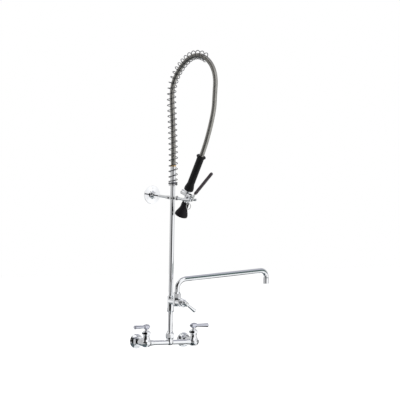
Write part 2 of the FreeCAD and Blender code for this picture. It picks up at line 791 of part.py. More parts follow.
def riser_nut():
    shoulder = HUB_TOP + RISER_GASKET_T + RISER_COLLAR_T + FIT
    prism = hexagon(RISER_NUT_FLATS, RISER_NUT_HEX_TOP - RISER_NUT_BOTTOM,
                    Vec(0, 0, RISER_NUT_BOTTOM), Z_AXIS, 8)
    corner = RISER_NUT_FLATS / math.sqrt(3) + 0.2
    round_ends = turned([
        (0, RISER_NUT_BOTTOM), (RISER_NUT_FOOT_R, RISER_NUT_BOTTOM), (corner, RISER_NUT_HEX_LOW),
        (corner, RISER_NUT_HEX_TOP - 6.0), (RISER_NUT_FLATS / 2 - 0.2, RISER_NUT_HEX_TOP + 0.5),
        (0, RISER_NUT_HEX_TOP + 0.5),
    ])
    cone = turned([
        (0, RISER_NUT_HEX_TOP - 1), (RISER_NUT_FLATS / 2 - 0.4, RISER_NUT_HEX_TOP - 1),
        (RISER_NUT_FLATS / 2 - 0.4, RISER_NUT_HEX_TOP), (RISER_NUT_CONE_R, RISER_NUT_TOP - 3),
        (RISER_NUT_CONE_R, RISER_NUT_TOP), (0, RISER_NUT_TOP),
    ])
    thread = Part.makeCylinder(HUB_R + FIT, shoulder - RISER_NUT_BOTTOM,
                               Vec(0, 0, RISER_NUT_BOTTOM))
    throat = Part.makeCylinder(RISER_R + FIT, RISER_NUT_TOP, Vec(0, 0, RISER_NUT_BOTTOM))
    solid = joined([prism.common(round_ends), cone]).cut([thread, throat])
    return on_axis(solid, RISER_AT, Z_AXIS)


def upper_riser():
    foot = ADDON_TOP - RISER_SOCKET
    tube = ring(RISER_R, RISER_BORE_R, UPPER_RISER_TOP - foot, Vec(0, 0, foot))
    return on_axis(tube, RISER_AT, Z_AXIS)


# Add-on faucet and swing spout

SPOUT_AT = RISER_AT + OUTWARD * SPOUT_OUT
ADDON_VALVE_AT = RISER_AT + OUTWARD * ADDON_VALVE_OUT + Z_AXIS * BRANCH_Z


def on_addon(shape):
    """A valve piece about +Z, laid along the branch with its windows upright."""
    return on_axis(shape, ADDON_VALVE_AT, OUTWARD, 90)


def addon_body():
    barrel = turned([
        (0, ADDON_BOTTOM), (ADDON_R - ADDON_EDGE, ADDON_BOTTOM),
        (ADDON_R, ADDON_BOTTOM + ADDON_EDGE * 2), (ADDON_R, ADDON_TOP - ADDON_EDGE * 2),
        (ADDON_R - ADDON_EDGE, ADDON_TOP), (0, ADDON_TOP),
    ])
    front = ADDON_VALVE_AT + OUTWARD * BODY_TOP
    branch = rod(BRANCH_R, RISER_AT + Z_AXIS * BRANCH_Z, front)
    boss = turned([
        (0, BOSS_BOTTOM), (BOSS_R - 6, BOSS_BOTTOM),
        (BOSS_R - 1.8, BOSS_BOTTOM + 2.0, BOSS_R, BOSS_BOTTOM + 7), (BOSS_R, BOSS_TOP - 1),
        (BOSS_R - 1, BOSS_TOP), (BOSS_THREAD_R, BOSS_TOP), (BOSS_THREAD_R, BOSS_THREAD_TOP),
        (0, BOSS_THREAD_TOP),
    ])
    solid = joined([on_axis(barrel, RISER_AT, Z_AXIS), branch, on_axis(boss, SPOUT_AT, Z_AXIS)])
    low_socket = rod(RISER_R, RISER_AT + Z_AXIS * ADDON_BOTTOM,
                     RISER_AT + Z_AXIS * (ADDON_BOTTOM + RISER_SOCKET))
    high_socket = rod(RISER_R, RISER_AT + Z_AXIS * (ADDON_TOP - RISER_SOCKET),
                      RISER_AT + Z_AXIS * ADDON_TOP)
    through = rod(RISER_BORE_R, RISER_AT + Z_AXIS * ADDON_BOTTOM, RISER_AT + Z_AXIS * ADDON_TOP)
    seat = ADDON_VALVE_AT + OUTWARD * SEAT_Z
    feed = rod(BRANCH_BORE_R, RISER_AT + Z_AXIS * BRANCH_Z, seat)
    chamber = rod(CART_R + FIT, seat, front)
    window = ADDON_VALVE_AT + OUTWARD * WINDOW_Z
    rise = rod(RISE_PASSAGE_R, Vec(0, window.y + 2.5, BRANCH_Z),
               Vec(0, window.y + 2.5, BOSS_FLOOR))
    well = rod(SPOUT_R + RUN, SPOUT_AT + Z_AXIS * BOSS_FLOOR, SPOUT_AT + Z_AXIS * BOSS_THREAD_TOP)
    grooves = [ring(SPOUT_R + RUN + 2 * SEAL_R + FIT, SPOUT_R, 2 * SEAL_R + 4 * FIT,
                    SPOUT_AT + Z_AXIS * (z - SEAL_R - 2 * FIT)) for z in SEAL_HEIGHTS]
    return solid.cut([low_socket, high_socket, through, feed, chamber, rise, well] + grooves)


def spout_seals():
    rings = [Part.makeTorus(SPOUT_R + RUN + SEAL_R, SEAL_R, SPOUT_AT + Z_AXIS * z, Z_AXIS)
             for z in SEAL_HEIGHTS]
    return group(rings)


def spout_bearing():
    return ring(BOSS_THREAD_R - 0.2, SPOUT_R + RUN, BEARING_T,
                SPOUT_AT + Z_AXIS * BOSS_THREAD_TOP)


def spout_nut():
    collar_top = BOSS_THREAD_TOP + BEARING_T + SPOUT_COLLAR_T + 2 * RUN
    prism = hexagon(SPOUT_NUT_FLATS, SPOUT_NUT_HEX, Vec(0, 0, BOSS_TOP), Z_AXIS, 20)
    hex_top = BOSS_TOP + SPOUT_NUT_HEX
    cone = turned([
        (0, hex_top - 1), (SPOUT_NUT_FLATS / 2 - 0.4, hex_top - 1),
        (SPOUT_NUT_FLATS / 2 - 0.4, hex_top), (SPOUT_NUT_LIP_R, hex_top + SPOUT_NUT_CONE),
        (0, hex_top + SPOUT_NUT_CONE),
    ])
    thread = Part.makeCylinder(BOSS_THREAD_R + FIT, collar_top + RUN - BOSS_TOP,
                               Vec(0, 0, BOSS_TOP))
    throat = Part.makeCylinder(SPOUT_R + SEAT, SPOUT_NUT_HEX * 2, Vec(0, 0, BOSS_TOP))
    return on_axis(joined([prism, cone]).cut([thread, throat]), SPOUT_AT, Z_AXIS)


def spout_route():
    slope = math.tan(math.radians(SPOUT_SLOPE))
    low = SPOUT_AT + Z_AXIS * SPOUT_LOW
    corner = SPOUT_AT + Z_AXIS * SPOUT_CORNER_Z
    tip = corner + X_AXIS * SPOUT_REACH + Z_AXIS * SPOUT_REACH * slope
    end = Vec(tip.x, tip.y, AERATOR_BOTTOM + AERATOR_LIP_T + INSERT_T)
    return [low, corner, tip, end]


def swing_spout():
    pieces, _ = route_edges(spout_route(), [SPOUT_BEND_R, SPOUT_TIP_BEND_R])
    wire = route_wire(pieces)
    outer = pipe(wire, SPOUT_R, pieces[0][1], Z_AXIS)
    inner = pipe(wire, SPOUT_R - SPOUT_WALL, pieces[0][1], Z_AXIS)
    collar_low = BOSS_THREAD_TOP + BEARING_T + RUN
    collar = Part.makeCylinder(SPOUT_COLLAR_R, SPOUT_COLLAR_T, SPOUT_AT + Z_AXIS * collar_low)
    return joined([outer, collar]).cut(inner)


def spout_tip():
    return spout_route()[-1]


def aerator_shell():
    tip = spout_tip()
    at = Vec(tip.x, tip.y, 0)
    seat = AERATOR_BOTTOM + AERATOR_LIP_T
    shell = turned([
        (AERATOR_LIP_R, AERATOR_BOTTOM), (AERATOR_R - 1, AERATOR_BOTTOM),
        (AERATOR_R, AERATOR_BOTTOM + 1), (AERATOR_R, AERATOR_TOP - 2.5),
        (SPOUT_R + 0.6, AERATOR_TOP), (SPOUT_R, AERATOR_TOP), (SPOUT_R, seat),
        (AERATOR_LIP_R, seat),
    ])
    return on_axis(shell, at, Z_AXIS)


def aerator_insert():
    tip = spout_tip()
    low = AERATOR_BOTTOM + AERATOR_LIP_T
    disc = Part.makeCylinder(SPOUT_R - FIT, INSERT_T, Vec(tip.x, tip.y, low))
    holes = []
    for radius, count in zip(INSERT_RING_RADII, INSERT_RING_HOLES):
        for k in range(count):
            a = 2 * math.pi * k / count
            at = Vec(tip.x + radius * math.cos(a), tip.y + radius * math.sin(a), low)
            holes.append(Part.makeCylinder(INSERT_HOLE_R, INSERT_T, at))
    return disc.cut(holes)


# Wall bracket and hook

CLAMP_AT = RISER_AT + Z_AXIS * BRACKET_Z


def out_from_riser(distance, side=0.0, up=0.0):
    return CLAMP_AT + OUTWARD * distance + X_AXIS * side + Z_AXIS * up


def clamp_half(side):
    """One cheek of the clamp; the two cheeks grip the riser, the rod and the hook's shank."""
    gap = CLAMP_GAP / 2
    cheek = [(gap, -CLAMP_CHEEK_LENGTH), (CLAMP_CHEEK - 3, -CLAMP_CHEEK_LENGTH),
             (CLAMP_CHEEK, -CLAMP_CHEEK_LENGTH + 4), (CLAMP_CHEEK, CLAMP_CHEEK_LENGTH - 4),
             (CLAMP_CHEEK - 3, CLAMP_CHEEK_LENGTH), (gap, CLAMP_CHEEK_LENGTH)]
    arm = [(gap, -CLAMP_BACK), (CLAMP_ARM, -CLAMP_BACK), (CLAMP_ARM, CLAMP_FRONT),
           (gap, CLAMP_FRONT)]
    up = Vec(0, 0, CLAMP_HEIGHT)

    def place(across, out):
        return out_from_riser(out, side * across, -CLAMP_HEIGHT / 2)

    solid = joined([extruded(cheek, place, up), extruded(arm, place, up)])
    riser = rod(RISER_R, out_from_riser(0, 0, -CLAMP_HEIGHT), out_from_riser(0, 0, CLAMP_HEIGHT))
    back = rod(ROD_R, out_from_riser(-ROD_END_FROM_RISER), out_from_riser(-BRACKET_REACH))
    front = rod(ROD_R, out_from_riser(ROD_END_FROM_RISER), out_from_riser(CLAMP_FRONT + 1))
    bolts = [rod(CLAMP_BOLT_R, out_from_riser(out, -CLAMP_CHEEK - 1),
                 out_from_riser(out, CLAMP_CHEEK + 1)) for out in (-CLAMP_BOLT_OUT, CLAMP_BOLT_OUT)]
    set_screw = rod(HOOK_SCREW_R, out_from_riser(HOOK_SCREW_OUT),
                    out_from_riser(HOOK_SCREW_OUT, 0, CLAMP_HEIGHT))
    return solid.cut([riser, back, front, set_screw] + bolts)


def clamp_screws():
    """Two cap screws through both cheeks, with their nuts on the left."""
    solids = []
    for out in (-CLAMP_BOLT_OUT, CLAMP_BOLT_OUT):
        shank = rod(CLAMP_BOLT_R, out_from_riser(out, -CLAMP_CHEEK),
                    out_from_riser(out, CLAMP_CHEEK))
        head = rod(CLAMP_BOLT_HEAD_R, out_from_riser(out, CLAMP_CHEEK),
                   out_from_riser(out, CLAMP_CHEEK + CLAMP_BOLT_HEAD_T))
        nut = hexagon(CLAMP_BOLT_HEAD_R * 2, CLAMP_BOLT_HEAD_T,
                      out_from_riser(out, -CLAMP_CHEEK), X_AXIS * -1)
        solids.append(joined([shank, head, nut]))
    return group(solids)


def bracket_rod():
    return rod(ROD_R, out_from_riser(-ROD_END_FROM_RISER), out_from_riser(-BRACKET_REACH))


def bracket_flange():
    """Round wall plate with a tapered socket that slides on the rod."""
    nose = PLATE_HUB_T + SOCKET_LENGTH
    plate = turned([
        (ROD_R + RUN, 0), (PLATE_R - 0.8, 0), (PLATE_R, 0.8), (PLATE_R - 0.6, PLATE_EDGE_T),
        (SOCKET_BASE_R + 4, PLATE_HUB_T - 0.6), (SOCKET_BASE_R, PLATE_HUB_T + 1.0),
        (SOCKET_BASE_R - 0.8, PLATE_HUB_T + 5), (SOCKET_NOSE_R, nose - 1),
        (SOCKET_NOSE_R - 1, nose), (ROD_R + RUN, nose),
    ])
    solid = on_axis(plate, out_from_riser(-BRACKET_REACH), OUTWARD)
    holes = []
    for k in range(PLATE_HOLES):
        a = math.radians(90 + 360 * k / PLATE_HOLES)
        at = out_from_riser(-BRACKET_REACH - 1, PLATE_HOLE_PCD / 2 * math.cos(a),
                            PLATE_HOLE_PCD / 2 * math.sin(a))
        holes.append(rod(PLATE_HOLE_R, at, at + OUTWARD * (PLATE_HUB_T + 3)))
    screw_out = PLATE_HUB_T + SOCKET_LENGTH * 0.55 - BRACKET_REACH
    tapped = rod(SET_SCREW_R, out_from_riser(screw_out, 0, ROD_R / 2),
                 out_from_riser(screw_out, 0, SOCKET_BASE_R + 2))
    return solid.cut(holes + [tapped])


def flange_set_screw():
    screw_out = PLATE_HUB_T + SOCKET_LENGTH * 0.55 - BRACKET_REACH
    low = out_from_riser(screw_out, 0, ROD_R + RUN)
    high = out_from_riser(screw_out, 0, SOCKET_BASE_R - 2.2)
    screw = rod(SET_SCREW_R - FIT, low, high)
    socket = hexagon(2.5, 2.0, high - Z_AXIS * 1.6)
    return screw.cut(socket)


HOOK_DIR = level_direction(HOOK_AZIMUTH)
HOOK_CENTRE = hook_centre()


def hook():
    """Shank, bend and a two-pronged fork open to the front."""
    bend = out_from_riser(HOOK_BEND_OUT)
    back = HOOK_CENTRE - HOOK_DIR * HOOK_HALF_WIDTH
    shank_start = out_from_riser(ROD_END_FROM_RISER)
    pieces, _ = route_edges([shank_start, bend, back], [HOOK_BEND_R])
    shank = pipe(route_wire(pieces), ROD_R, shank_start, OUTWARD)
    side = Z_AXIS.cross(HOOK_DIR)
    right = HOOK_CENTRE + side * HOOK_HALF_WIDTH
    left = HOOK_CENTRE - side * HOOK_HALF_WIDTH
    tips = [right + HOOK_DIR * HOOK_PRONG, left + HOOK_DIR * HOOK_PRONG]
    fork_edges = [Part.LineSegment(tips[0], right).toShape(), Part.Arc(right, back, left).toShape(),
                  Part.LineSegment(left, tips[1]).toShape()]
    fork = pipe(Part.Wire(fork_edges), ROD_R, tips[0], HOOK_DIR * -1)
    ends = [Part.makeSphere(ROD_R, tip) for tip in tips]
    dimple = rod(HOOK_SCREW_R, out_from_riser(HOOK_SCREW_OUT, 0, ROD_R - 0.8),
                 out_from_riser(HOOK_SCREW_OUT, 0, ROD_R * 2))
    return joined([shank, fork] + ends).cut(dimple)


def hook_screw():
    low = out_from_riser(HOOK_SCREW_OUT, 0, ROD_R - 0.8)
    top = out_from_riser(HOOK_SCREW_OUT, 0, CLAMP_HEIGHT / 2)
    shank = rod(HOOK_SCREW_R, low, top)
    head = rod(HOOK_SCREW_HEAD_R, top, top + Z_AXIS * HOOK_SCREW_HEAD_T)
    return joined([shank, head])


# Hose, sleeve and spring

def hose_sleeve():
    """Sleeve over the riser's end; the spring stands on its foot, around its shoulder."""
    top = SLEEVE_TOP - SLEEVE_TOP_SOCKET
    tight = COIL_R - WIRE_R - SEAT
    shoulder = SPRING_START_Z + CLOSED_PITCH * CLOSED_TURNS
    sleeve = turned([
        (RISER_R, SLEEVE_BOTTOM), (COIL_R, SLEEVE_BOTTOM),
        (COIL_R, SLEEVE_BOTTOM + SPRING_SEAT_T), (tight, SLEEVE_BOTTOM + SPRING_SEAT_T),
        (tight, shoulder), (SLEEVE_R, shoulder + SLEEVE_ROUND), (SLEEVE_R, SLEEVE_TOP),
        (SLEEVE_TOP_SOCKET_R, SLEEVE_TOP), (SLEEVE_TOP_SOCKET_R, top), (RISER_BORE_R, top),
        (RISER_BORE_R, UPPER_RISER_TOP), (RISER_R, UPPER_RISER_TOP),
    ])
    return on_axis(sleeve, RISER_AT, Z_AXIS)


def hose_ferrule():
    top = SLEEVE_TOP + FERRULE_T
    low = SLEEVE_TOP - SLEEVE_TOP_SOCKET
    ferrule = turned([
        (FERRULE_BORE_R, low), (SLEEVE_TOP_SOCKET_R, low), (SLEEVE_TOP_SOCKET_R, SLEEVE_TOP),
        (FERRULE_R, SLEEVE_TOP), (FERRULE_R, top - 1.2), (FERRULE_R - 1.2, top),
        (FERRULE_BORE_R, top),
    ])
    return on_axis(ferrule, RISER_AT, Z_AXIS)


def hose_route():
    """The hose's corners, from the ferrule's top to the collar of the grip."""
    level = level_direction(HOSE_AZIMUTH)
    points = [RISER_AT + Z_AXIS * (SLEEVE_TOP + FERRULE_T)]
    points += [RISER_AT + level * out + Z_AXIS * height for out, height in HOSE_CORNERS]
    frame = spray_frame()
    end = frame.multVec(Vec(GRIP_U, 0, GRIP_TOP + GRIP_COLLAR_T))
    before = frame.multVec(Vec(GRIP_U, 0, GRIP_TOP + GRIP_COLLAR_T + HOSE_LAST_RUN))
    return points + [before, end]


def hose_tube(outer, inner):
    pieces, _ = route_edges(hose_route())
    wire = route_wire(pieces)
    start = pieces[0][1]
    return pipe(wire, outer, start, Z_AXIS).cut(pipe(wire, inner, start, Z_AXIS))


def eased(t):
    """A smooth step from 0 to 1."""
    t = min(max(t, 0.0), 1.0)
    return t * t * (3 - 2 * t)


def spring_path():
    """The spring's guide: straight up past the sleeve, then the hose's own route."""
    foot = RISER_AT + Z_AXIS * SPRING_START_Z
    pieces, _ = route_edges(hose_route())
    join = pieces[0][1]
    return [("line", foot, join, Vec(Z_AXIS))] + pieces


def spring_point(turn, pieces=None):
    """A point of the spring's wire: closed turns around the sleeve's shoulder, then open ones."""
    pieces = pieces or spring_path()
    opened = max(turn - CLOSED_TURNS, 0.0)
    ramp = min(opened, OPENING_TURNS)
    along = CLOSED_PITCH * turn
    along += (COIL_PITCH - CLOSED_PITCH) * (ramp * ramp / (2 * OPENING_TURNS))
    along += (COIL_PITCH - CLOSED_PITCH) * max(opened - OPENING_TURNS, 0.0)
    centre, ahead = route_at(pieces, along)
    a = math.radians(HOSE_AZIMUTH)
    side = Vec(math.cos(a), math.sin(a), 0)
    inward = side.cross(ahead).normalize()
    side = ahead.cross(inward)
    lean = LEAN_OFFSET * eased((along - 90) / 100)
    arch = (ARCH_OFFSET - LEAN_OFFSET) * eased((along - ARCH_FROM) / (ARCH_FULL - ARCH_FROM))
    centre = centre - inward * (lean + arch)
    angle = 2 * math.pi * turn
    return centre + (inward * math.cos(angle) + side * math.sin(angle)) * COIL_R


def support_spring():
    pieces = spring_path()
    return wound(lambda t: spring_point(t, pieces), COIL_TURNS, WIRE_R)


# Spray valve

def spray_body():
    back, front = barrel_point(BARREL_BACK), barrel_point(BARREL_FRONT)
    barrel = rod(BARREL_R, back, front)
    neck = rod(NECK_R, Vec(HEAD_U, 0, NECK_BOTTOM), Vec(HEAD_U, 0, BARREL_W))
    collar_top = NECK_COLLAR_W + NECK_COLLAR_T
    collar = rod(NECK_COLLAR_R, Vec(HEAD_U, 0, NECK_COLLAR_W), Vec(HEAD_U, 0, collar_top))
    hub = rod(GRIP_HUB_R, Vec(GRIP_U, 0, BARREL_W), Vec(GRIP_U, 0, GRIP_HUB_TOP))
    spigot = rod(GRIP_SPIGOT_R - 2.4, Vec(GRIP_U, 0, GRIP_HUB_TOP - 1),
                 Vec(GRIP_U, 0, GRIP_SPIGOT_TOP))
    ears = []
    for side in (-1, 1):
        near = side * EAR_GAP / 2
        profile = [(HEAD_U + 7, PIVOT_W - 1.5), (PIVOT_U, PIVOT_W - EAR_R),
                   (PIVOT_U + EAR_R * 0.7071, PIVOT_W - EAR_R * 0.7071,
                    PIVOT_U + EAR_R, PIVOT_W),
                   (PIVOT_U + EAR_R * 0.7071, PIVOT_W + EAR_R * 0.7071,
                    PIVOT_U, PIVOT_W + EAR_R),
                   (PIVOT_U - 3, BARREL_W - BARREL_R + 5.5), (HEAD_U + 7, BARREL_W - 2)]
        ears.append(extruded(profile, lambda a, b: Vec(a, near, b), Vec(0, side * EAR_T, 0)))
    tab = rod(EYE_R, Vec(EYE_U, -EYE_T / 2, EYE_W), Vec(EYE_U, EYE_T / 2, EYE_W))
    web = Part.makeBox(EYE_U - HEAD_U, EYE_T, EYE_R * 1.7,
                       Vec(HEAD_U, -EYE_T / 2, EYE_W - EYE_R * 0.85))
    solid = joined([barrel, neck, collar, hub, spigot, tab, web] + ears)
    rear = rod(CHAMBER_R, back, barrel_point(VALVE_SEAT_BACK))
    seat = rod(VALVE_SEAT_R, barrel_point(VALVE_SEAT_BACK), barrel_point(VALVE_SEAT_FRONT))
    fore = rod(CHAMBER_R, barrel_point(VALVE_SEAT_FRONT), front)
    drop = rod(NECK_BORE_R, Vec(HEAD_U, 0, NECK_BOTTOM), Vec(HEAD_U, 0, BARREL_W))
    feed = rod(GRIP_BORE_R, Vec(GRIP_U, 0, BARREL_W), Vec(GRIP_U, 0, GRIP_SPIGOT_TOP))
    pin = rod(PIVOT_R, Vec(PIVOT_U, -PIVOT_PIN_LENGTH, PIVOT_W),
              Vec(PIVOT_U, PIVOT_PIN_LENGTH, PIVOT_W))
    slot = Part.makeBox(EAR_R * 4, EAR_GAP, BARREL_W - BARREL_R + 3 - (PIVOT_W - EAR_R),
                        Vec(HEAD_U + NECK_COLLAR_R + 0.4, -EAR_GAP / 2, PIVOT_W - EAR_R))
    eye = rod(EYE_HOLE_R, Vec(EYE_U, -EYE_T, EYE_W), Vec(EYE_U, EYE_T, EYE_W))
    return solid.cut([rear, seat, fore, drop, feed, pin, slot, eye])


def body_end_cap():
    axis = barrel_point(1) - barrel_point(0)
    cap = turned([
        (0, -CAP_T), (BARREL_R - 2.5, -CAP_T), (BARREL_R + 0.6, -CAP_T + 2.5), (BARREL_R + 0.6, 0),
        (CHAMBER_R - FIT, 0), (CHAMBER_R - FIT, CAP_SPIGOT), (0, CAP_SPIGOT),
    ])
    return on_axis(cap, barrel_point(BARREL_BACK), axis)


def plunger_guide():
    axis = barrel_point(1) - barrel_point(0)
    guide = turned([
        (PLUNGER_R + RUN, -GUIDE_SPIGOT), (GUIDE_R, -GUIDE_SPIGOT), (GUIDE_R, 0),
        (GUIDE_R + 1.4, 0), (GUIDE_R + 1.4, GUIDE_FLANGE_T - 0.6),
        (GUIDE_R + 0.8, GUIDE_FLANGE_T), (PLUNGER_R + RUN, GUIDE_FLANGE_T),
    ])
    return on_axis(guide, barrel_point(BARREL_FRONT), axis)


def plunger():
    """Stem with a round tip, the valve disc behind its seat and a tail inside the spring."""
    axis = barrel_point(1) - barrel_point(0)
    disc_front = VALVE_SEAT_BACK - SEAT
    disc_back = disc_front - PLUNGER_DISC_T
    tip = PLUNGER_TIP
    stem = turned([
        (0, disc_back - PLUNGER_TAIL), (PLUNGER_TAIL_R, disc_back - PLUNGER_TAIL),
        (PLUNGER_TAIL_R, disc_back), (PLUNGER_DISC_R, disc_back), (PLUNGER_DISC_R, disc_front),
        (PLUNGER_R, disc_front), (PLUNGER_R, tip - PLUNGER_TIP_BEVEL),
        (PLUNGER_R - PLUNGER_TIP_BEVEL, tip), (0, tip),
    ])
    return on_axis(stem, barrel_point(0), axis)


def plunger_spring():
    low = BARREL_BACK + CAP_SPIGOT + PLUNGER_WIRE_R + SEAT
    high = VALVE_SEAT_BACK - SEAT - PLUNGER_DISC_T - PLUNGER_WIRE_R - SEAT

    def point_at(turn):
        along = low + (high - low) * turn / PLUNGER_SPRING_TURNS
        a = 2 * math.pi * turn
        middle = barrel_point(along, PLUNGER_SPRING_R * math.cos(a))
        return middle + Y_AXIS * PLUNGER_SPRING_R * math.sin(a)

    return wound(point_at, PLUNGER_SPRING_TURNS, PLUNGER_WIRE_R)


def grip():
    inner = GRIP_TUBE_R + FIT
    skirt = GRIP_HUB_R + FIT
    shell = turned([
        (skirt, GRIP_BOTTOM), (GRIP_SKIRT_R - 1, GRIP_BOTTOM), (GRIP_SKIRT_R, GRIP_BOTTOM + 1.5),
        (GRIP_SKIRT_R - 0.6, GRIP_BOTTOM + 12),
        (GRIP_R + 1.3, GRIP_BOTTOM + 19, GRIP_R, GRIP_SKIRT_TOP + 3),
        (GRIP_R, GRIP_TOP), (inner, GRIP_TOP), (inner, GRIP_HUB_TOP), (skirt, GRIP_HUB_TOP),
    ])
    return on_axis(shell, Vec(GRIP_U, 0, 0), Z_AXIS)


def grip_tube():
    top = GRIP_TOP + GRIP_COLLAR_T
    tube = turned([
        (GRIP_SPIGOT_R - 2.4, GRIP_HUB_TOP), (GRIP_TUBE_R, GRIP_HUB_TOP), (GRIP_TUBE_R, top),
        (GRIP_TUBE_BORE_R, top), (GRIP_TUBE_BORE_R, GRIP_SPIGOT_TOP),
        (GRIP_SPIGOT_R - 2.4, GRIP_SPIGOT_TOP - 0.5),
    ])
    return on_axis(tube, Vec(GRIP_U, 0, 0), Z_AXIS)


def grip_collar():
    top = GRIP_TOP + GRIP_COLLAR_T
    mid = GRIP_TOP + GRIP_COLLAR_T / 2
    collar = turned([
        (GRIP_TUBE_R + FIT, GRIP_TOP), (GRIP_COLLAR_R - 1.6, GRIP_TOP),
        (GRIP_COLLAR_R, mid, GRIP_COLLAR_R - 1.6, top), (GRIP_TUBE_R + FIT, top),
    ])
    return on_axis(collar, Vec(GRIP_U, 0, 0), Z_AXIS)


def lever_line(along):
    """A point in the lever's middle plane, given along the lever from the arm's shoulder."""
    tilt = math.radians(LEVER_TILT)
    return (ARM_SHOULDER[0] + along * math.sin(tilt), ARM_SHOULDER[1] + along * math.cos(tilt))


def plate_bar(points, thick, width):
    """A flat bar through (u, w) points, its joints rounded."""
    solids = []
    for (u0, w0), (u1, w1) in zip(points[:-1], points[1:]):
        length = math.hypot(u1 - u0, w1 - w0)
        across = ((w1 - w0) / length * thick / 2, -(u1 - u0) / length * thick / 2)
        corners = [(u0 + across[0], w0 + across[1]), (u1 + across[0], w1 + across[1]),
                   (u1 - across[0], w1 - across[1]), (u0 - across[0], w0 - across[1])]
        solids.append(extruded(corners, lambda a, b: Vec(a, -width / 2, b), Vec(0, width, 0)))
    for u, w in points[1:-1]:
        solids.append(rod(thick / 2, Vec(u, -width / 2, w), Vec(u, width / 2, w)))
    return solids


def lever_arm():
    """Stamped arm from the pivot, up in front of the plunger and into the lever's cover."""
    low = plate_bar([(PIVOT_U, PIVOT_W), ARM_ELBOW, ARM_SHOULDER, lever_line(COVER_LOW)], ARM_T,
                    ARM_WIDTH)
    high = plate_bar([ARM_SHOULDER, lever_line(COVER_LENGTH - CORE_END_GAP)], CORE_T, CORE_WIDTH)
    eye = rod(EAR_R - 0.4, Vec(PIVOT_U, -ARM_WIDTH / 2, PIVOT_W),
              Vec(PIVOT_U, ARM_WIDTH / 2, PIVOT_W))
    hole = rod(PIVOT_R + RUN, Vec(PIVOT_U, -ARM_WIDTH, PIVOT_W), Vec(PIVOT_U, ARM_WIDTH, PIVOT_W))
    return joined(low + high + [eye]).cut(hole)


def lever_cover():
    """Rounded cover pushed over the arm's upper end."""
    half = COVER_WIDTH / 2
    deep = COVER_T / 2
    section = [(0, -half, deep, deep - half), (deep, half - deep),
               (0, half, -deep, half - deep), (-deep, deep - half)]
    front = [(COVER_LOW, -half), (COVER_LENGTH - half, -half),
             (COVER_LENGTH, 0, COVER_LENGTH - half, half), (COVER_LOW, half)]
    bar = extruded(section, lambda a, b: Vec(a + COVER_OUT, b, COVER_LOW),
                   Vec(0, 0, COVER_LENGTH))
    sheet = extruded(front, lambda a, b: Vec(-COVER_T, b, a), Vec(COVER_T * 2, 0, 0))
    core = Part.makeBox(CORE_T, CORE_WIDTH, COVER_LENGTH - CORE_END_GAP,
                        Vec(-CORE_T / 2, -CORE_WIDTH / 2, 0))
    solid = bar.common(sheet).cut(core)
    u, w = lever_line(0)
    moved = solid.copy()
    moved.Placement = FreeCAD.Placement(Vec(u, 0, w), FreeCAD.Rotation(Y_AXIS, LEVER_TILT))
    return moved


def pivot_pin():
    half = PIVOT_PIN_LENGTH / 2
    shank = rod(PIVOT_R, Vec(PIVOT_U, -half, PIVOT_W), Vec(PIVOT_U, half, PIVOT_W))
    head = rod(PIVOT_R + 1.2, Vec(PIVOT_U, half - 1.8, PIVOT_W), Vec(PIVOT_U, half, PIVOT_W))
    tail = rod(PIVOT_R + 1.2, Vec(PIVOT_U, -half, PIVOT_W), Vec(PIVOT_U, -half + 1.8, PIVOT_W))
    return joined([shank, head, tail])


BELL_TOP_W = NECK_BOTTOM
FACE_W = BELL_MOUTH_W + BELL_LIP


def diffuser_r(w):
    """The diffuser's outer radius at a height: a neck, then a cone that follows the bell."""
    if w > DIFFUSER_WAIST_W:
        share = (BELL_TOP_W - w) / (BELL_TOP_W - DIFFUSER_WAIST_W)
        return DIFFUSER_TOP_R + (DIFFUSER_WAIST_R - DIFFUSER_TOP_R) * share
    share = (DIFFUSER_WAIST_W - w) / (DIFFUSER_WAIST_W - FACE_W)
    return DIFFUSER_WAIST_R + (BELL_MOUTH_R - BELL_WALL - DIFFUSER_WAIST_R) * share


def diffuser_inner_r(w):
    """The radius inside the diffuser at a height."""
    return diffuser_r(w) - DIFFUSER_T


def face_r():
    """The spray face's radius, a close fit inside the diffuser."""
    return diffuser_inner_r(FACE_W + FACE_T) - FIT


def diffuser():
    """Cup screwed under the neck that spreads the water over the spray face."""
    roof = BELL_TOP_W - DIFFUSER_ROOF_T
    shell = turned([
        (NECK_BORE_R, roof), (NECK_BORE_R, BELL_TOP_W), (DIFFUSER_TOP_R, BELL_TOP_W),
        (DIFFUSER_WAIST_R, DIFFUSER_WAIST_W), (diffuser_r(FACE_W), FACE_W),
        (diffuser_inner_r(FACE_W), FACE_W),
        (diffuser_inner_r(DIFFUSER_WAIST_W), DIFFUSER_WAIST_W), (diffuser_inner_r(roof), roof),
    ])
    return on_axis(shell, Vec(HEAD_U, 0, 0), Z_AXIS)


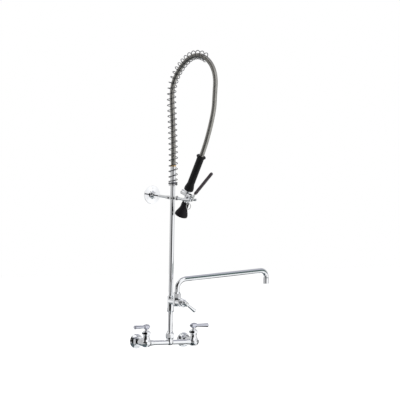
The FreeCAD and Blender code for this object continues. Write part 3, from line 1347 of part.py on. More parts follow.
def bell():
    """Rubber bumper over the diffuser, rolled in at its mouth to hold the spray face."""
    top = BELL_TOP_W + 2.0
    drop = (BELL_WAIST_W - BELL_MOUTH_W) / 36.0
    flare = (BELL_MOUTH_R - BELL_WAIST_R) / 10.0
    shell = turned([
        (NECK_R + FIT, top), (BELL_TOP_R - 1.5, top),
        (BELL_TOP_R, top - 0.6, BELL_TOP_R + 0.4, top - 2.4),
        (BELL_WAIST_R, BELL_WAIST_W),
        (BELL_WAIST_R + 0.9 * flare, BELL_WAIST_W - 8 * drop,
         BELL_WAIST_R + 4.1 * flare, BELL_WAIST_W - 16 * drop),
        (BELL_WAIST_R + 7.6 * flare, BELL_WAIST_W - 24.5 * drop,
         BELL_MOUTH_R, BELL_MOUTH_W + BELL_EDGE_R),
        (BELL_MOUTH_R - 0.7, BELL_MOUTH_W + 0.6, BELL_MOUTH_R - BELL_EDGE_R, BELL_MOUTH_W),
        (face_r() - FACE_LAP, BELL_MOUTH_W), (face_r() - FACE_LAP, FACE_W),
        (diffuser_r(FACE_W) + FIT, FACE_W), (DIFFUSER_WAIST_R + FIT, DIFFUSER_WAIST_W),
        (DIFFUSER_TOP_R + FIT, BELL_TOP_W), (NECK_R + FIT, BELL_TOP_W),
    ])
    return on_axis(shell, Vec(HEAD_U, 0, 0), Z_AXIS)


def spray_face():
    disc = Part.makeCylinder(face_r(), FACE_T, Vec(HEAD_U, 0, FACE_W))
    holes = [Part.makeCylinder(FACE_SCREW_R, FACE_T, Vec(HEAD_U, 0, FACE_W))]
    for ring_r, count in zip(FACE_RING_RADII, FACE_RING_HOLES):
        for k in range(count):
            a = 2 * math.pi * k / count
            at = Vec(HEAD_U + ring_r * math.cos(a), ring_r * math.sin(a), FACE_W)
            holes.append(Part.makeCylinder(FACE_HOLE_R, FACE_T, at))
    return disc.cut(holes)


def face_screw():
    """Centre screw that draws the spray face up against the diffuser's bridge."""
    low = FACE_W - 1.4
    head = Part.makeCylinder(FACE_SCREW_HEAD_R, 1.4, Vec(HEAD_U, 0, low))
    shank = Part.makeCylinder(FACE_SCREW_R, FACE_T + 6.0, Vec(HEAD_U, 0, FACE_W))
    slot = Part.makeBox(FACE_SCREW_HEAD_R * 2, 0.8, 0.7,
                        Vec(HEAD_U - FACE_SCREW_HEAD_R, -0.4, low))
    return joined([head, shank]).cut(slot)


def ring_hinge():
    """Where the hanging ring's wire rests in its eye, in the part's frame."""
    eye = spray_frame().multVec(Vec(EYE_U, 0, EYE_W))
    return eye - Z_AXIS * (EYE_HOLE_R - RING_WIRE_R - SEAT / 2)


def hold_ring():
    centre = ring_hinge() - Z_AXIS * RING_R
    return Part.makeTorus(RING_R, RING_WIRE_R, centre, HOOK_DIR)


# Build

def build():
    lever_turn = {-1: 180 + LEVER_SWING_IN, 1: -LEVER_SWING_IN}
    parts = {
        "wall_flanges": at_inlets(wall_flange()),
        "supply_arms": at_inlets(supply_arm()),
        "coupling_nuts": at_inlets(coupling_nut()),
        "coupling_gaskets": at_inlets(coupling_gasket()),
        "left_valve_body": valve_body(-1),
        "right_valve_body": valve_body(1),
        "crossbar": crossbar(),
        "base_cartridges": group([on_axis(cartridge(), base_centre(s), Z_AXIS) for s in (-1, 1)]),
        "base_bonnets": group([on_axis(bonnet(), base_centre(s), Z_AXIS) for s in (-1, 1)]),
        "riser_gasket": riser_gasket(),
        "riser_nut": riser_nut(),
        "lower_riser": lower_riser(),
        "upper_riser": upper_riser(),
        "addon_body": addon_body(),
        "addon_cartridge": on_addon(cartridge()),
        "addon_bonnet": on_addon(bonnet()),
        "spout_seals": spout_seals(),
        "spout_bearing": spout_bearing(),
        "spout_nut": spout_nut(),
        "swing_spout": swing_spout(),
        "aerator_shell": aerator_shell(),
        "aerator_insert": aerator_insert(),
        "riser_clamp_left": clamp_half(-1),
        "riser_clamp_right": clamp_half(1),
        "clamp_screws": clamp_screws(),
        "bracket_rod": bracket_rod(),
        "bracket_flange": bracket_flange(),
        "flange_set_screw": flange_set_screw(),
        "hook": hook(),
        "hook_screw": hook_screw(),
        "hose_sleeve": hose_sleeve(),
        "hose_ferrule": hose_ferrule(),
        "hose_cover": hose_tube(HOSE_R, HOSE_R - HOSE_WALL),
        "hose_liner": hose_tube(HOSE_R - HOSE_WALL, HOSE_R - HOSE_WALL - LINER_WALL),
        "support_spring": support_spring(),
        "hold_ring": hold_ring(),
    }
    for side, word in ((-1, "left"), (1, "right")):
        turn = lever_turn[side]
        centre = base_centre(side)
        parts[word + "_spindle"] = on_axis(spindle(), centre, Z_AXIS, 90 + side * 90)
        parts[word + "_lever"] = on_axis(lever(LEVER_LENGTH), centre, Z_AXIS, turn)
        parts[word + "_lever_screw"] = on_axis(lever_screw(), centre, Z_AXIS, turn)
    addon_turn = FreeCAD.Placement(ADDON_VALVE_AT, FreeCAD.Rotation(Y_AXIS, ADDON_LEVER_DROP))
    port_turn = 90 + ADDON_LEVER_DROP
    for name, shape, turn in (("spindle", spindle(), port_turn),
                              ("lever", lever(ADDON_LEVER_LENGTH, ADDON_BLADE_SHARE), 0),
                              ("lever_screw", lever_screw(), 0)):
        laid = on_axis(shape, Vec(0, 0, 0), OUTWARD, turn)
        laid.Placement = addon_turn.multiply(laid.Placement)
        parts["addon_" + name] = laid
    sprayer = {
        "spray_body": spray_body(), "body_end_cap": body_end_cap(),
        "plunger_guide": plunger_guide(), "plunger": plunger(),
        "plunger_spring": plunger_spring(), "grip": grip(), "grip_tube": grip_tube(),
        "grip_collar": grip_collar(), "lever_arm": lever_arm(), "lever_cover": lever_cover(),
        "pivot_pin": pivot_pin(), "diffuser": diffuser(), "bell": bell(),
        "spray_face": spray_face(), "face_screw": face_screw(),
    }
    for name, shape in sprayer.items():
        parts[name] = in_spray_frame(shape)
    return parts


def report_hose():
    pieces, radii = route_edges(hose_route())
    length = sum(piece_length(p) for p in pieces)
    print("hose length", round(length, 1), "radii", [round(r) for r in radii])
    runs = hose_route()
    print("runs", [round((b - a).Length) for a, b in zip(runs[:-1], runs[1:])])
    section = math.pi * (HOSE_R ** 2 - (HOSE_R - HOSE_WALL) ** 2)
    print("hose cover volume by section x length", round(section * length))
    guide = spring_path()
    print("spring gap to itself", round(least_gap(lambda t: spring_point(t, guide), COIL_TURNS,
                                                  WIRE_R), 2))
    ends = spring_point(COIL_TURNS, guide)
    print("spring ends at", [round(c, 1) for c in ends])


def main():
    os.makedirs("parts", exist_ok=True)
    parts = build()
    for name, shape in sorted(parts.items()):
        solids = len(shape.Solids)
        print(name, "solids", solids, "valid", shape.isValid(), "volume", round(shape.Volume, 1))
        shape.exportStep(os.path.join("parts", name + ".step"))
    print("hose cover volume", round(parts["hose_cover"].Volume))
    report_hose()


main()
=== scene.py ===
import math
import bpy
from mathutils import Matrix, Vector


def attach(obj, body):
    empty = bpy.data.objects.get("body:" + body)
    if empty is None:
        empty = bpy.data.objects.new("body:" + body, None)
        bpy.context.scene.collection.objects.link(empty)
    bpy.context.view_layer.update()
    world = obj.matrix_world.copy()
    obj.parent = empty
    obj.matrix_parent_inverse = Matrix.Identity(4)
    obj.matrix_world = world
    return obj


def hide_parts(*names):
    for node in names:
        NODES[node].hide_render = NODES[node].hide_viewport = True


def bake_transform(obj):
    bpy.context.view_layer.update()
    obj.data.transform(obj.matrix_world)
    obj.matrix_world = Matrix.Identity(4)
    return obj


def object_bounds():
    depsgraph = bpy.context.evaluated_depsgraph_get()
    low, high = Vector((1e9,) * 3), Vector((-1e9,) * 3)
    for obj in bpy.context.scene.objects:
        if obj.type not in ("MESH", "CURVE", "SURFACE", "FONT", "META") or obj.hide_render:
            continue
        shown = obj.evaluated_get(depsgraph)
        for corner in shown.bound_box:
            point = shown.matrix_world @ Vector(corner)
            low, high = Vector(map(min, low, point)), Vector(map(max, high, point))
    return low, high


bl_info = {
    "name": "Pre-rinse faucet",
    "version": (1, 0, 0),
    "blender": (4, 5, 0),
    "location": "View3D > Sidebar > Faucet",
    "description": "Dresses a packed wall pre-rinse faucet: hose, spring, sprayer, finishes and studio",
    "category": "Add Mesh",
}

import bpy
import numpy as np
from mathutils import Matrix

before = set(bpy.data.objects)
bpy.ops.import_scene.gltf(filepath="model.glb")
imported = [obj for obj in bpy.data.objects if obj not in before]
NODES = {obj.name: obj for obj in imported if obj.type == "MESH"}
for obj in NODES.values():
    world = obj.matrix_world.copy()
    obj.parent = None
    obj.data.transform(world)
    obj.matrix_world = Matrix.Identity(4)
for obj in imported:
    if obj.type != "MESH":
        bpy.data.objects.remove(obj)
CAD_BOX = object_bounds()

UP = np.array((0.0, 0.0, 1.0))

# Places on the solids, in metres. RISER is where the riser's axis meets the level of the inlets, and
# azimuths run from straight ahead to the right.
RISER = np.array((0.0, -0.080, 0.0))
HOSE_AZIMUTH = math.radians(12.5)
HOOK_AZIMUTH = math.radians(15.0)

# The sprayer hangs at SPRAY_HOOK and leans outwards by SPRAY_TILT. In its own frame, GRIP_U and HEAD_U are
# how far the axes of grip and bell lie towards the lever, the plunger's barrel passes at BARREL_HEIGHT,
# and LEVER_SHOULDER is where the lever's straight stretch begins.
SPRAY_HOOK = np.array((0.011181, -0.166728, 0.549))
SPRAY_TILT = math.radians(27.0)
GRIP_U, HEAD_U = -0.0062, 0.004
BARREL_HEIGHT, BARREL_TILT = 0.020, math.radians(8.4)
LEVER_SHOULDER = (0.031, 0.040)
LEVER_TILT = math.radians(19.9)

# The hose's route, in millimetres: how far out from the riser and how high. Its last two points lie on the
# grip's axis, these distances along it from the hook, in metres.
HOSE_ROUTE = (
    (0, 674), (0, 737), (-8, 851), (-18, 959), (7, 1015), (46, 1058), (89, 1088), (136, 1097),
    (183, 1085), (218, 1054), (234, 1010), (230, 953), (227, 887),
)
HOSE_INTO_GRIP = (0.236, 0.1855)

# The camera's sensor, in millimetres, and what the camera looks at, right of RISER and above it.
SENSOR_WIDTH = 36.0
AIM_RIGHT, AIM_UP = 0.11408, 0.53932

# Upright cards that only the chrome mirrors, by name, two lower corners, height and brightness. A corner
# lies so far right of RISER, towards the camera and up, as the camera sees it.
VIEW_CARDS = (
    ("low_flag", (-0.60, 0.62, -0.10), (0.02, 0.62, -0.10), 0.22, 0.0),
    ("tall_flag", (-0.42, 0.62, 0.174), (0.11, 0.62, 0.174), 0.31, 0.03),
    ("left_flag", (-0.90, 0.62, 0.06), (-0.55, 0.62, 0.06), 0.05, 0.0),
    ("low_card", (0.02, 0.62, -0.16), (0.50, 0.30, -0.16), 0.215, 1.08),
    ("side_card", (0.50, 0.30, -0.16), (0.55, -0.05, -0.16), 0.20, 1.06),
    ("back_flag", (0.55, -0.10, -0.30), (0.10, -0.50, -0.30), 0.33, 0.14),
)

# Smaller cards close to a part, by name, two corners in the faucet's own frame, the edge that leads on
# from each, and colour.
NEAR_CARDS = (
    ("right_lever_flag", (0.12, -0.15, 0.01), (0.21, -0.15, 0.01), (0.0, 0.09, 0.0), (0.03, 0.03, 0.04)),
    ("under_flag", (-0.06, -0.13, -0.10), (0.15, -0.13, -0.10), (0.0, 0.08, 0.0), (0.02, 0.02, 0.02)),
    ("spout_flag", (0.045, -0.175, 0.232), (0.46, -0.175, 0.262), (0.0, 0.0, 0.058), (0.10, 0.15, 0.14)),
    ("branch_card", (-0.119, -0.009, 0.122), (-0.031, 0.039, 0.122), (0.0, 0.0, 0.059), (1.0, 1.0, 1.0)),
)

# These two levers take the handle finish, a darker and bluer copy of the chrome: painted shade that stands in
# for the shade they sit in.
LEVERS_IN_PAINTED_SHADE = ("left_lever", "right_lever")


class FaucetSizes(bpy.types.PropertyGroup):
    """Sizes that a user of this faucet would change."""

    hose_radius: bpy.props.FloatProperty(
        name="Hose radius", description="Outer radius of the ribbed stainless cover",
        default=0.0092, unit="LENGTH", precision=4)
    hose_length: bpy.props.FloatProperty(
        name="Hose length", description="Length of the hose from the ferrule into the grip",
        default=0.946, unit="LENGTH", precision=3)
    rib_pitch: bpy.props.FloatProperty(
        name="Rib pitch", description="Distance from one rib of the hose to the next",
        default=0.0036, unit="LENGTH", precision=4)
    rib_depth: bpy.props.FloatProperty(
        name="Rib depth", description="Depth of the groove between two ribs",
        default=0.0008, unit="LENGTH", precision=4)
    wire_radius: bpy.props.FloatProperty(
        name="Spring wire radius", description="Radius of the support spring's wire",
        default=0.0015, unit="LENGTH", precision=4)
    coil_radius: bpy.props.FloatProperty(
        name="Coil radius", description="Radius of the support spring, to the middle of the wire",
        default=0.0163, unit="LENGTH", precision=4)
    coil_pitch: bpy.props.FloatProperty(
        name="Coil pitch", description="Distance between the open turns of the support spring",
        default=0.0209, unit="LENGTH", precision=4)
    coil_turns: bpy.props.FloatProperty(
        name="Coil turns", description="Turns of the support spring", default=32.0)


class FaucetColours(bpy.types.PropertyGroup):
    """Colours of the faucet's finishes."""

    chrome: bpy.props.FloatVectorProperty(
        name="Chrome", description="Reflection colour of the plated brass",
        default=(0.86, 0.87, 0.89), subtype="COLOR", min=0, max=1)
    hose: bpy.props.FloatVectorProperty(
        name="Hose", description="Stainless strip of the hose cover",
        default=(0.38, 0.37, 0.345), subtype="COLOR", min=0, max=1)
    spring: bpy.props.FloatVectorProperty(
        name="Spring", description="Dark wire of the springs",
        default=(0.13, 0.13, 0.14), subtype="COLOR", min=0, max=1)
    grip: bpy.props.FloatVectorProperty(
        name="Grip", description="Moulded black grip and its collar",
        default=(0.007, 0.007, 0.0075), subtype="COLOR", min=0, max=1)
    bell: bpy.props.FloatVectorProperty(
        name="Bell", description="Black rubber of the spray bell",
        default=(0.009, 0.0075, 0.0095), subtype="COLOR", min=0, max=1)
    brass: bpy.props.FloatVectorProperty(
        name="Ferrule brass", description="Bare brass of the hose ferrule",
        default=(0.72, 0.50, 0.24), subtype="COLOR", min=0, max=1)


class StageSettings(bpy.types.PropertyGroup):
    """Where the camera stands and how much it sees."""

    turn: bpy.props.FloatProperty(
        name="Camera turn", description="Turn of the camera to the left, from straight ahead",
        default=math.radians(28.7), subtype="ANGLE")
    height: bpy.props.FloatProperty(
        name="Camera height", description="Angle of the camera above the faucet",
        default=math.radians(4.0), subtype="ANGLE")
    roll: bpy.props.FloatProperty(
        name="Camera roll", description="Lean of the picture",
        default=math.radians(1.1), subtype="ANGLE")
    view_width: bpy.props.FloatProperty(
        name="View width", description="Width of the picture at the faucet",
        default=1.516, unit="LENGTH")
    lens: bpy.props.FloatProperty(
        name="Lens", description="Focal length of the camera in millimetres", default=500.0)


def smoothstep(t):
    """0 below 0, 1 above 1, and three t squared less two t cubed between."""
    t = np.clip(t, 0.0, 1.0)
    return t * t * (3 - 2 * t)


def unit(v):
    """The same vectors at length one."""
    return v / np.linalg.norm(v, axis=-1, keepdims=True)


def heading(azimuth):
    """Level unit vectors out from the faucet at an azimuth, and square to that on its right."""
    sine, cosine = math.sin(azimuth), math.cos(azimuth)
    return np.array((sine, -cosine, 0.0)), np.array((cosine, sine, 0.0))


def placed(x, y, z, at):
    """The matrix of an object with these three axes that stands at a point."""
    return Matrix(np.column_stack((x, y, z, at)).tolist()).to_4x4()


def sprayer_axes():
    """Unit vectors of the sprayer's frame: u towards its lever, v to the right, w up along its grip."""
    level, _ = heading(HOOK_AZIMUTH)
    u = level * math.cos(SPRAY_TILT) - UP * math.sin(SPRAY_TILT)
    w = level * math.sin(SPRAY_TILT) + UP * math.cos(SPRAY_TILT)
    return u, np.cross(w, u), w


def on_sprayer(along_u, along_w):
    """A point in the sprayer's middle plane."""
    u, _, w = sprayer_axes()
    return SPRAY_HOOK + u * along_u + w * along_w


def linked(name, data):
    """A new object in the scene."""
    made = bpy.data.objects.new(name, data)
    bpy.context.scene.collection.objects.link(made)
    return made


def put_mesh(name, points, quads, tris=()):
    """An object whose mesh has these points and faces. Where their signed volume is negative, all the
    faces are turned round."""
    quads = np.asarray(quads, np.int32).reshape(-1, 4)
    tris = np.asarray(tris, np.int32).reshape(-1, 3)
    corners = np.concatenate((quads[:, :3], quads[:, (0, 2, 3)], tris))
    a, b, c = points[corners[:, 0]], points[corners[:, 1]], points[corners[:, 2]]
    if np.einsum("ij,ij->i", a, np.cross(b, c)).sum() < 0:
        quads, tris = quads[:, ::-1], tris[:, ::-1]
    mesh = bpy.data.meshes.new(name)
    mesh.vertices.add(len(points))
    mesh.vertices.foreach_set("co", np.asarray(points, np.float32).ravel())
    mesh.loops.add(quads.size + tris.size)
    mesh.loops.foreach_set("vertex_index", np.concatenate((quads.ravel(), tris.ravel())))
    counts = np.concatenate((np.full(len(quads), 4), np.full(len(tris), 3)))
    mesh.polygons.add(len(counts))
    mesh.polygons.foreach_set("loop_start", np.concatenate(((0,), np.cumsum(counts)[:-1])))
    mesh.update(calc_edges=True)
    mesh.validate()
    mesh.shade_smooth()
    mesh.set_sharp_from_angle(angle=math.radians(38))
    return linked(name, mesh)


def surface(name, grid, ends="poles"):
    """A closed skin over a grid of points. Columns run round and meet; the first and last rows
    are each closed with a point in their middle, or joined to one another when ends is "join"."""
    rows, around = grid.shape[:2]

    def at(row, column):
        return (row % rows) * around + column % around

    points = grid.reshape(-1, 3)
    i, j = np.meshgrid(np.arange(rows if ends == "join" else rows - 1), np.arange(around), indexing="ij")
    quads = np.stack((at(i, j), at(i, j + 1), at(i + 1, j + 1), at(i + 1, j)), -1)
    if ends == "join":
        return put_mesh(name, points, quads)
    points = np.concatenate((points, grid[0].mean(0)[None], grid[-1].mean(0)[None]))
    k = np.arange(around)
    first = np.stack((at(0, k + 1), at(0, k), np.full(around, rows * around)), -1)
    last = np.stack((at(rows - 1, k), at(rows - 1, k + 1), np.full(around, rows * around + 1)), -1)
    return put_mesh(name, points, quads, np.concatenate((first, last)))


def card(name, corners):
    """A flat piece with four corners."""
    mesh = bpy.data.meshes.new(name)
    mesh.from_pydata([tuple(corner) for corner in corners], [], [(0, 1, 2, 3)])
    return linked(name, mesh)


def rounded(profile, radius, steps=4):
    """A closed profile with each corner replaced by a curve that starts and ends radius from it:
    the quadratic curve whose middle point is the corner."""
    corner = np.asarray(profile, float)
    ends = []
    for step in (1, -1):
        way = np.roll(corner, step, 0) - corner
        ends.append(corner + unit(way) * np.minimum(radius, 0.45 * np.linalg.norm(way, axis=1))[:, None])
    start, stop = (end[:, None] for end in ends)
    t = np.linspace(0, 1, steps)[None, :, None]
    curve = (1 - t) ** 2 * start + 2 * t * (1 - t) * corner[:, None] + t ** 2 * stop
    return curve.reshape(-1, 2)


def circle(count):
    """Angles at equal steps once round."""
    return np.linspace(0, 2 * np.pi, count, endpoint=False)


def spokes(angles, first, second):
    """For each pair of unit vectors, the vectors first*cos + second*sin of the angles."""
    return np.cos(angles)[None, :, None] * first[:, None] + np.sin(angles)[None, :, None] * second[:, None]


def turned(name, profile, base, axis, side, around=96):
    """A closed profile of (radius, height) points carried round an axis. Each point of the grid is
    base + axis*height + radius*(side*cos + other*sin), where other is square to axis and side."""
    ring = spokes(circle(around), side[None], np.cross(axis, side)[None])
    grid = base + profile[:, 1, None, None] * axis + profile[:, 0, None, None] * ring
    return surface(name, grid, ends="join")


def wire(name, centres, spoke, radius, around=12):
    """A round wire: each centre plus the radius times (outward*cos + other*sin), where outward is the
    spoke from the coil's axis made square to the wire."""
    ahead = unit(np.gradient(centres, axis=0))
    outward = unit(spoke - ahead * np.einsum("ij,ij->i", spoke, ahead)[:, None])
    rings = spokes(circle(around), outward, np.cross(ahead, outward))
    return surface(name, centres[:, None] + radius * rings)


def squared(ahead, side):
    """Unit vectors square to each way ahead: inward, square to the side too, and across, which is the
    side turned as little as that takes."""
    inward = unit(np.cross(side, ahead))
    return inward, np.cross(ahead, inward)


def distances(points):
    """How far along a line each of its points is."""
    return np.concatenate(((0,), np.cumsum(np.linalg.norm(np.diff(points, axis=0), axis=1))))


def walk(points, at):
    """The places on a line at these distances along it."""
    run = distances(points)
    return np.stack([np.interp(at, run, points[:, k]) for k in range(3)], -1)


def evenly(points, count):
    """The same line with count points at equal steps along it, and how far along each one is."""
    at = np.linspace(0, distances(points)[-1], count)
    return walk(points, at), at


def hose_line():
    """Points along the hose's smooth line, a NURBS curve with the route's points as control points."""
    out, _ = heading(HOSE_AZIMUTH)
    route = [RISER + out * far / 1000 + UP * high / 1000 for far, high in HOSE_ROUTE]
    route += [on_sprayer(GRIP_U, along) for along in HOSE_INTO_GRIP]
    curve = bpy.data.curves.new("hose_line", "CURVE")
    curve.dimensions = "3D"
    spline = curve.splines.new("NURBS")
    spline.points.add(len(route) - 1)
    spline.points.foreach_set("co", np.column_stack((route, np.ones(len(route)))).ravel())
    spline.order_u = 3
    spline.use_endpoint_u = True
    spline.resolution_u = 48
    line = linked("hose_line", curve)
    bpy.context.view_layer.update()
    mesh = bpy.data.meshes.new_from_object(line)
    points = np.zeros(len(mesh.vertices) * 3)
    mesh.vertices.foreach_get("co", points)
    bpy.data.objects.remove(line)
    bpy.data.meshes.remove(mesh)
    points = points.reshape(-1, 3)
    same_place = 1e-7
    moved = np.linalg.norm(np.diff(points, axis=0), axis=1) > same_place
    return points[np.concatenate(((True,), moved))]


def bend_with_sprayer(obj):
    """Bakes the piece's placement into its mesh."""
    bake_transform(obj)


def node(tree, kind, settings=(), inputs=()):
    """One shader node with its settings, and each input given as a value or as a socket to link."""
    made = tree.nodes.new("ShaderNode" + kind)
    for key, value in dict(settings).items():
        setattr(made, key, value)
    for key, value in dict(inputs).items():
        if isinstance(value, bpy.types.NodeSocket):
            tree.links.new(value, made.inputs[key])
        else:
            made.inputs[key].default_value = value
    return made


def bare_tree(owner):
    """The emptied shader tree of a material or a world."""
    owner.use_nodes = True
    owner.node_tree.nodes.clear()
    return owner.node_tree


def show(tree, shader, output="OutputMaterial"):
    """Sends a shader to the tree's output."""
    tree.links.new(shader.outputs[0], node(tree, output).inputs["Surface"])


def glowing_cloth(name, colour):
    """A material that glows in a colour, or in the colours of the mesh attribute with that name."""
    material = bpy.data.materials.new(name)
    tree = bare_tree(material)
    if isinstance(colour, str):
        colour = node(tree, "Attribute", {"attribute_name": colour}).outputs["Color"]
    else:
        colour = (*colour, 1)
    show(tree, node(tree, "Emission", inputs={"Color": colour, "Strength": 1.0}))
    return material


def only_mirrored(piece, cloth):
    """The piece is a part of the stage, in this cloth, that shows in the chrome and nowhere else."""
    piece.data.materials.append(cloth)
    piece.visible_camera = piece.visible_diffuse = piece.visible_shadow = piece.visible_transmission = False


def two_tone(tree, factor, low, high):
    """A colour that goes from low to high as the factor goes from 0.3 to 0.7."""
    made = node(tree, "ValToRGB", inputs={"Fac": factor})
    for element, place, colour in zip(made.color_ramp.elements, (0.3, 0.7), (low, high)):
        element.position = place
        element.color = (*colour, 1)
    return made.outputs["Color"]


def finish(name, colour, metallic, rough, tint=0.06, grain=90.0, smear=14.0, bump=0.02, stretch=(1, 1, 1),
           specular=None):
    """A procedural finish in Object coordinates. The colour varies by the share tint with a broad noise,
    the roughness varies between two limits with both noises, and the finer one raises the surface."""
    material = bpy.data.materials.new(name)
    material.use_nodes = True
    tree = material.node_tree
    shader = tree.nodes["Principled BSDF"]
    place = node(tree, "TexCoord").outputs["Object"]
    place = node(tree, "Mapping", inputs={"Vector": place, "Scale": stretch}).outputs["Vector"]
    broad = node(tree, "TexNoise", inputs={"Vector": place, "Scale": smear, "Detail": 4.0, "Roughness": 0.55})
    fine = node(tree, "TexNoise", inputs={"Vector": place, "Scale": grain, "Detail": 3.0, "Roughness": 0.6})
    low = tuple(max(0.0, c * (1 - tint)) for c in colour)
    high = tuple(min(1.0, c * (1 + tint)) for c in colour)
    tree.links.new(two_tone(tree, broad.outputs["Fac"], low, high), shader.inputs["Base Color"])
    mixed = node(tree, "Math", {"operation": "MULTIPLY_ADD"},
                 {0: fine.outputs["Fac"], 1: 0.5, 2: broad.outputs["Fac"]}).outputs[0]
    spread = node(tree, "MapRange", inputs={"Value": mixed, "From Min": 0.45, "From Max": 1.05,
                                            "To Min": rough[0], "To Max": rough[1]})
    tree.links.new(spread.outputs["Result"], shader.inputs["Roughness"])
    raised = node(tree, "Bump", inputs={"Height": fine.outputs["Fac"], "Strength": bump, "Distance": 0.0006})
    tree.links.new(raised.outputs["Normal"], shader.inputs["Normal"])
    shader.inputs["Metallic"].default_value = metallic
    if specular is not None:
        shader.inputs["Specular IOR Level"].default_value = specular


def finishes():
    """Makes the finishes, each named after its slot in the record, and two more for the levers. The handle
    finish is the chrome made darker and bluer: painted shade for the two levers.
    """
    c = bpy.context.scene.faucet_colours
    plated = dict(tint=0.03, bump=0.004, grain=60)
    moulded = dict(smear=50, grain=1400, bump=0.06)
    for slot, colour, metallic, rough, details in (
        ("chrome_plate", c.chrome, 1.0, (0.035, 0.085), plated),
        # The handle finish is the chrome darkened and blued as painted shade, for the two levers that sit in
        # shade.
        ("handle", (0.62, 0.63, 0.70), 1.0, (0.05, 0.12), plated),
        ("polished_tube", c.chrome, 1.0, (0.03, 0.07),
         dict(tint=0.02, bump=0.003, grain=40, stretch=(1, 1, 0.15))),
        ("valve_brass", (0.36, 0.31, 0.24), 1.0, (0.25, 0.42), dict(tint=0.12, bump=0.05)),
        ("ferrule_brass", c.brass, 1.0, (0.22, 0.36), dict(tint=0.1, bump=0.03)),
        ("stainless_hose", c.hose, 1.0, (0.12, 0.24), dict(tint=0.18, smear=60, grain=400, bump=0.05)),
        ("spring_steel", c.spring, 1.0, (0.14, 0.26), dict(tint=0.12, smear=40, grain=300, bump=0.03)),
        ("stainless", (0.6, 0.6, 0.59), 1.0, (0.14, 0.28), dict(grain=300, bump=0.03)),
        ("black_grip", c.grip, 0.0, (0.3, 0.46), dict(moulded, tint=0.3, specular=0.18)),
        ("lever_cover", (0.040, 0.031, 0.036), 0.0, (0.3, 0.42), dict(moulded, tint=0.25, specular=0.3)),
        ("black_rubber", c.bell, 0.0, (0.4, 0.56),
         dict(tint=0.25, smear=40, grain=1800, bump=0.07, specular=0.15)),
        ("seal_rubber", (0.02, 0.02, 0.02), 0.0, (0.5, 0.7), dict(tint=0.2, grain=900)),
        ("washer_fibre", (0.16, 0.05, 0.03), 0.0, (0.6, 0.8), dict(tint=0.25, grain=900, bump=0.1)),
        ("bearing_plastic", (0.75, 0.74, 0.7), 0.0, (0.35, 0.5), dict(tint=0.05)),
        ("hose_lining", (0.03, 0.03, 0.035), 0.0, (0.4, 0.6), dict(tint=0.2)),
        ("grey_plastic", (0.30, 0.30, 0.31), 0.0, (0.35, 0.5), dict(tint=0.1)),
    ):
        finish(slot + "_finish", colour, metallic, rough, **details)


def give_finish(obj, slot, shown=None):
    """Puts one slot's finish, or the named one, on a piece."""
    obj.data.materials.clear()
    obj.data.materials.append(bpy.data.materials[shown or slot + "_finish"])


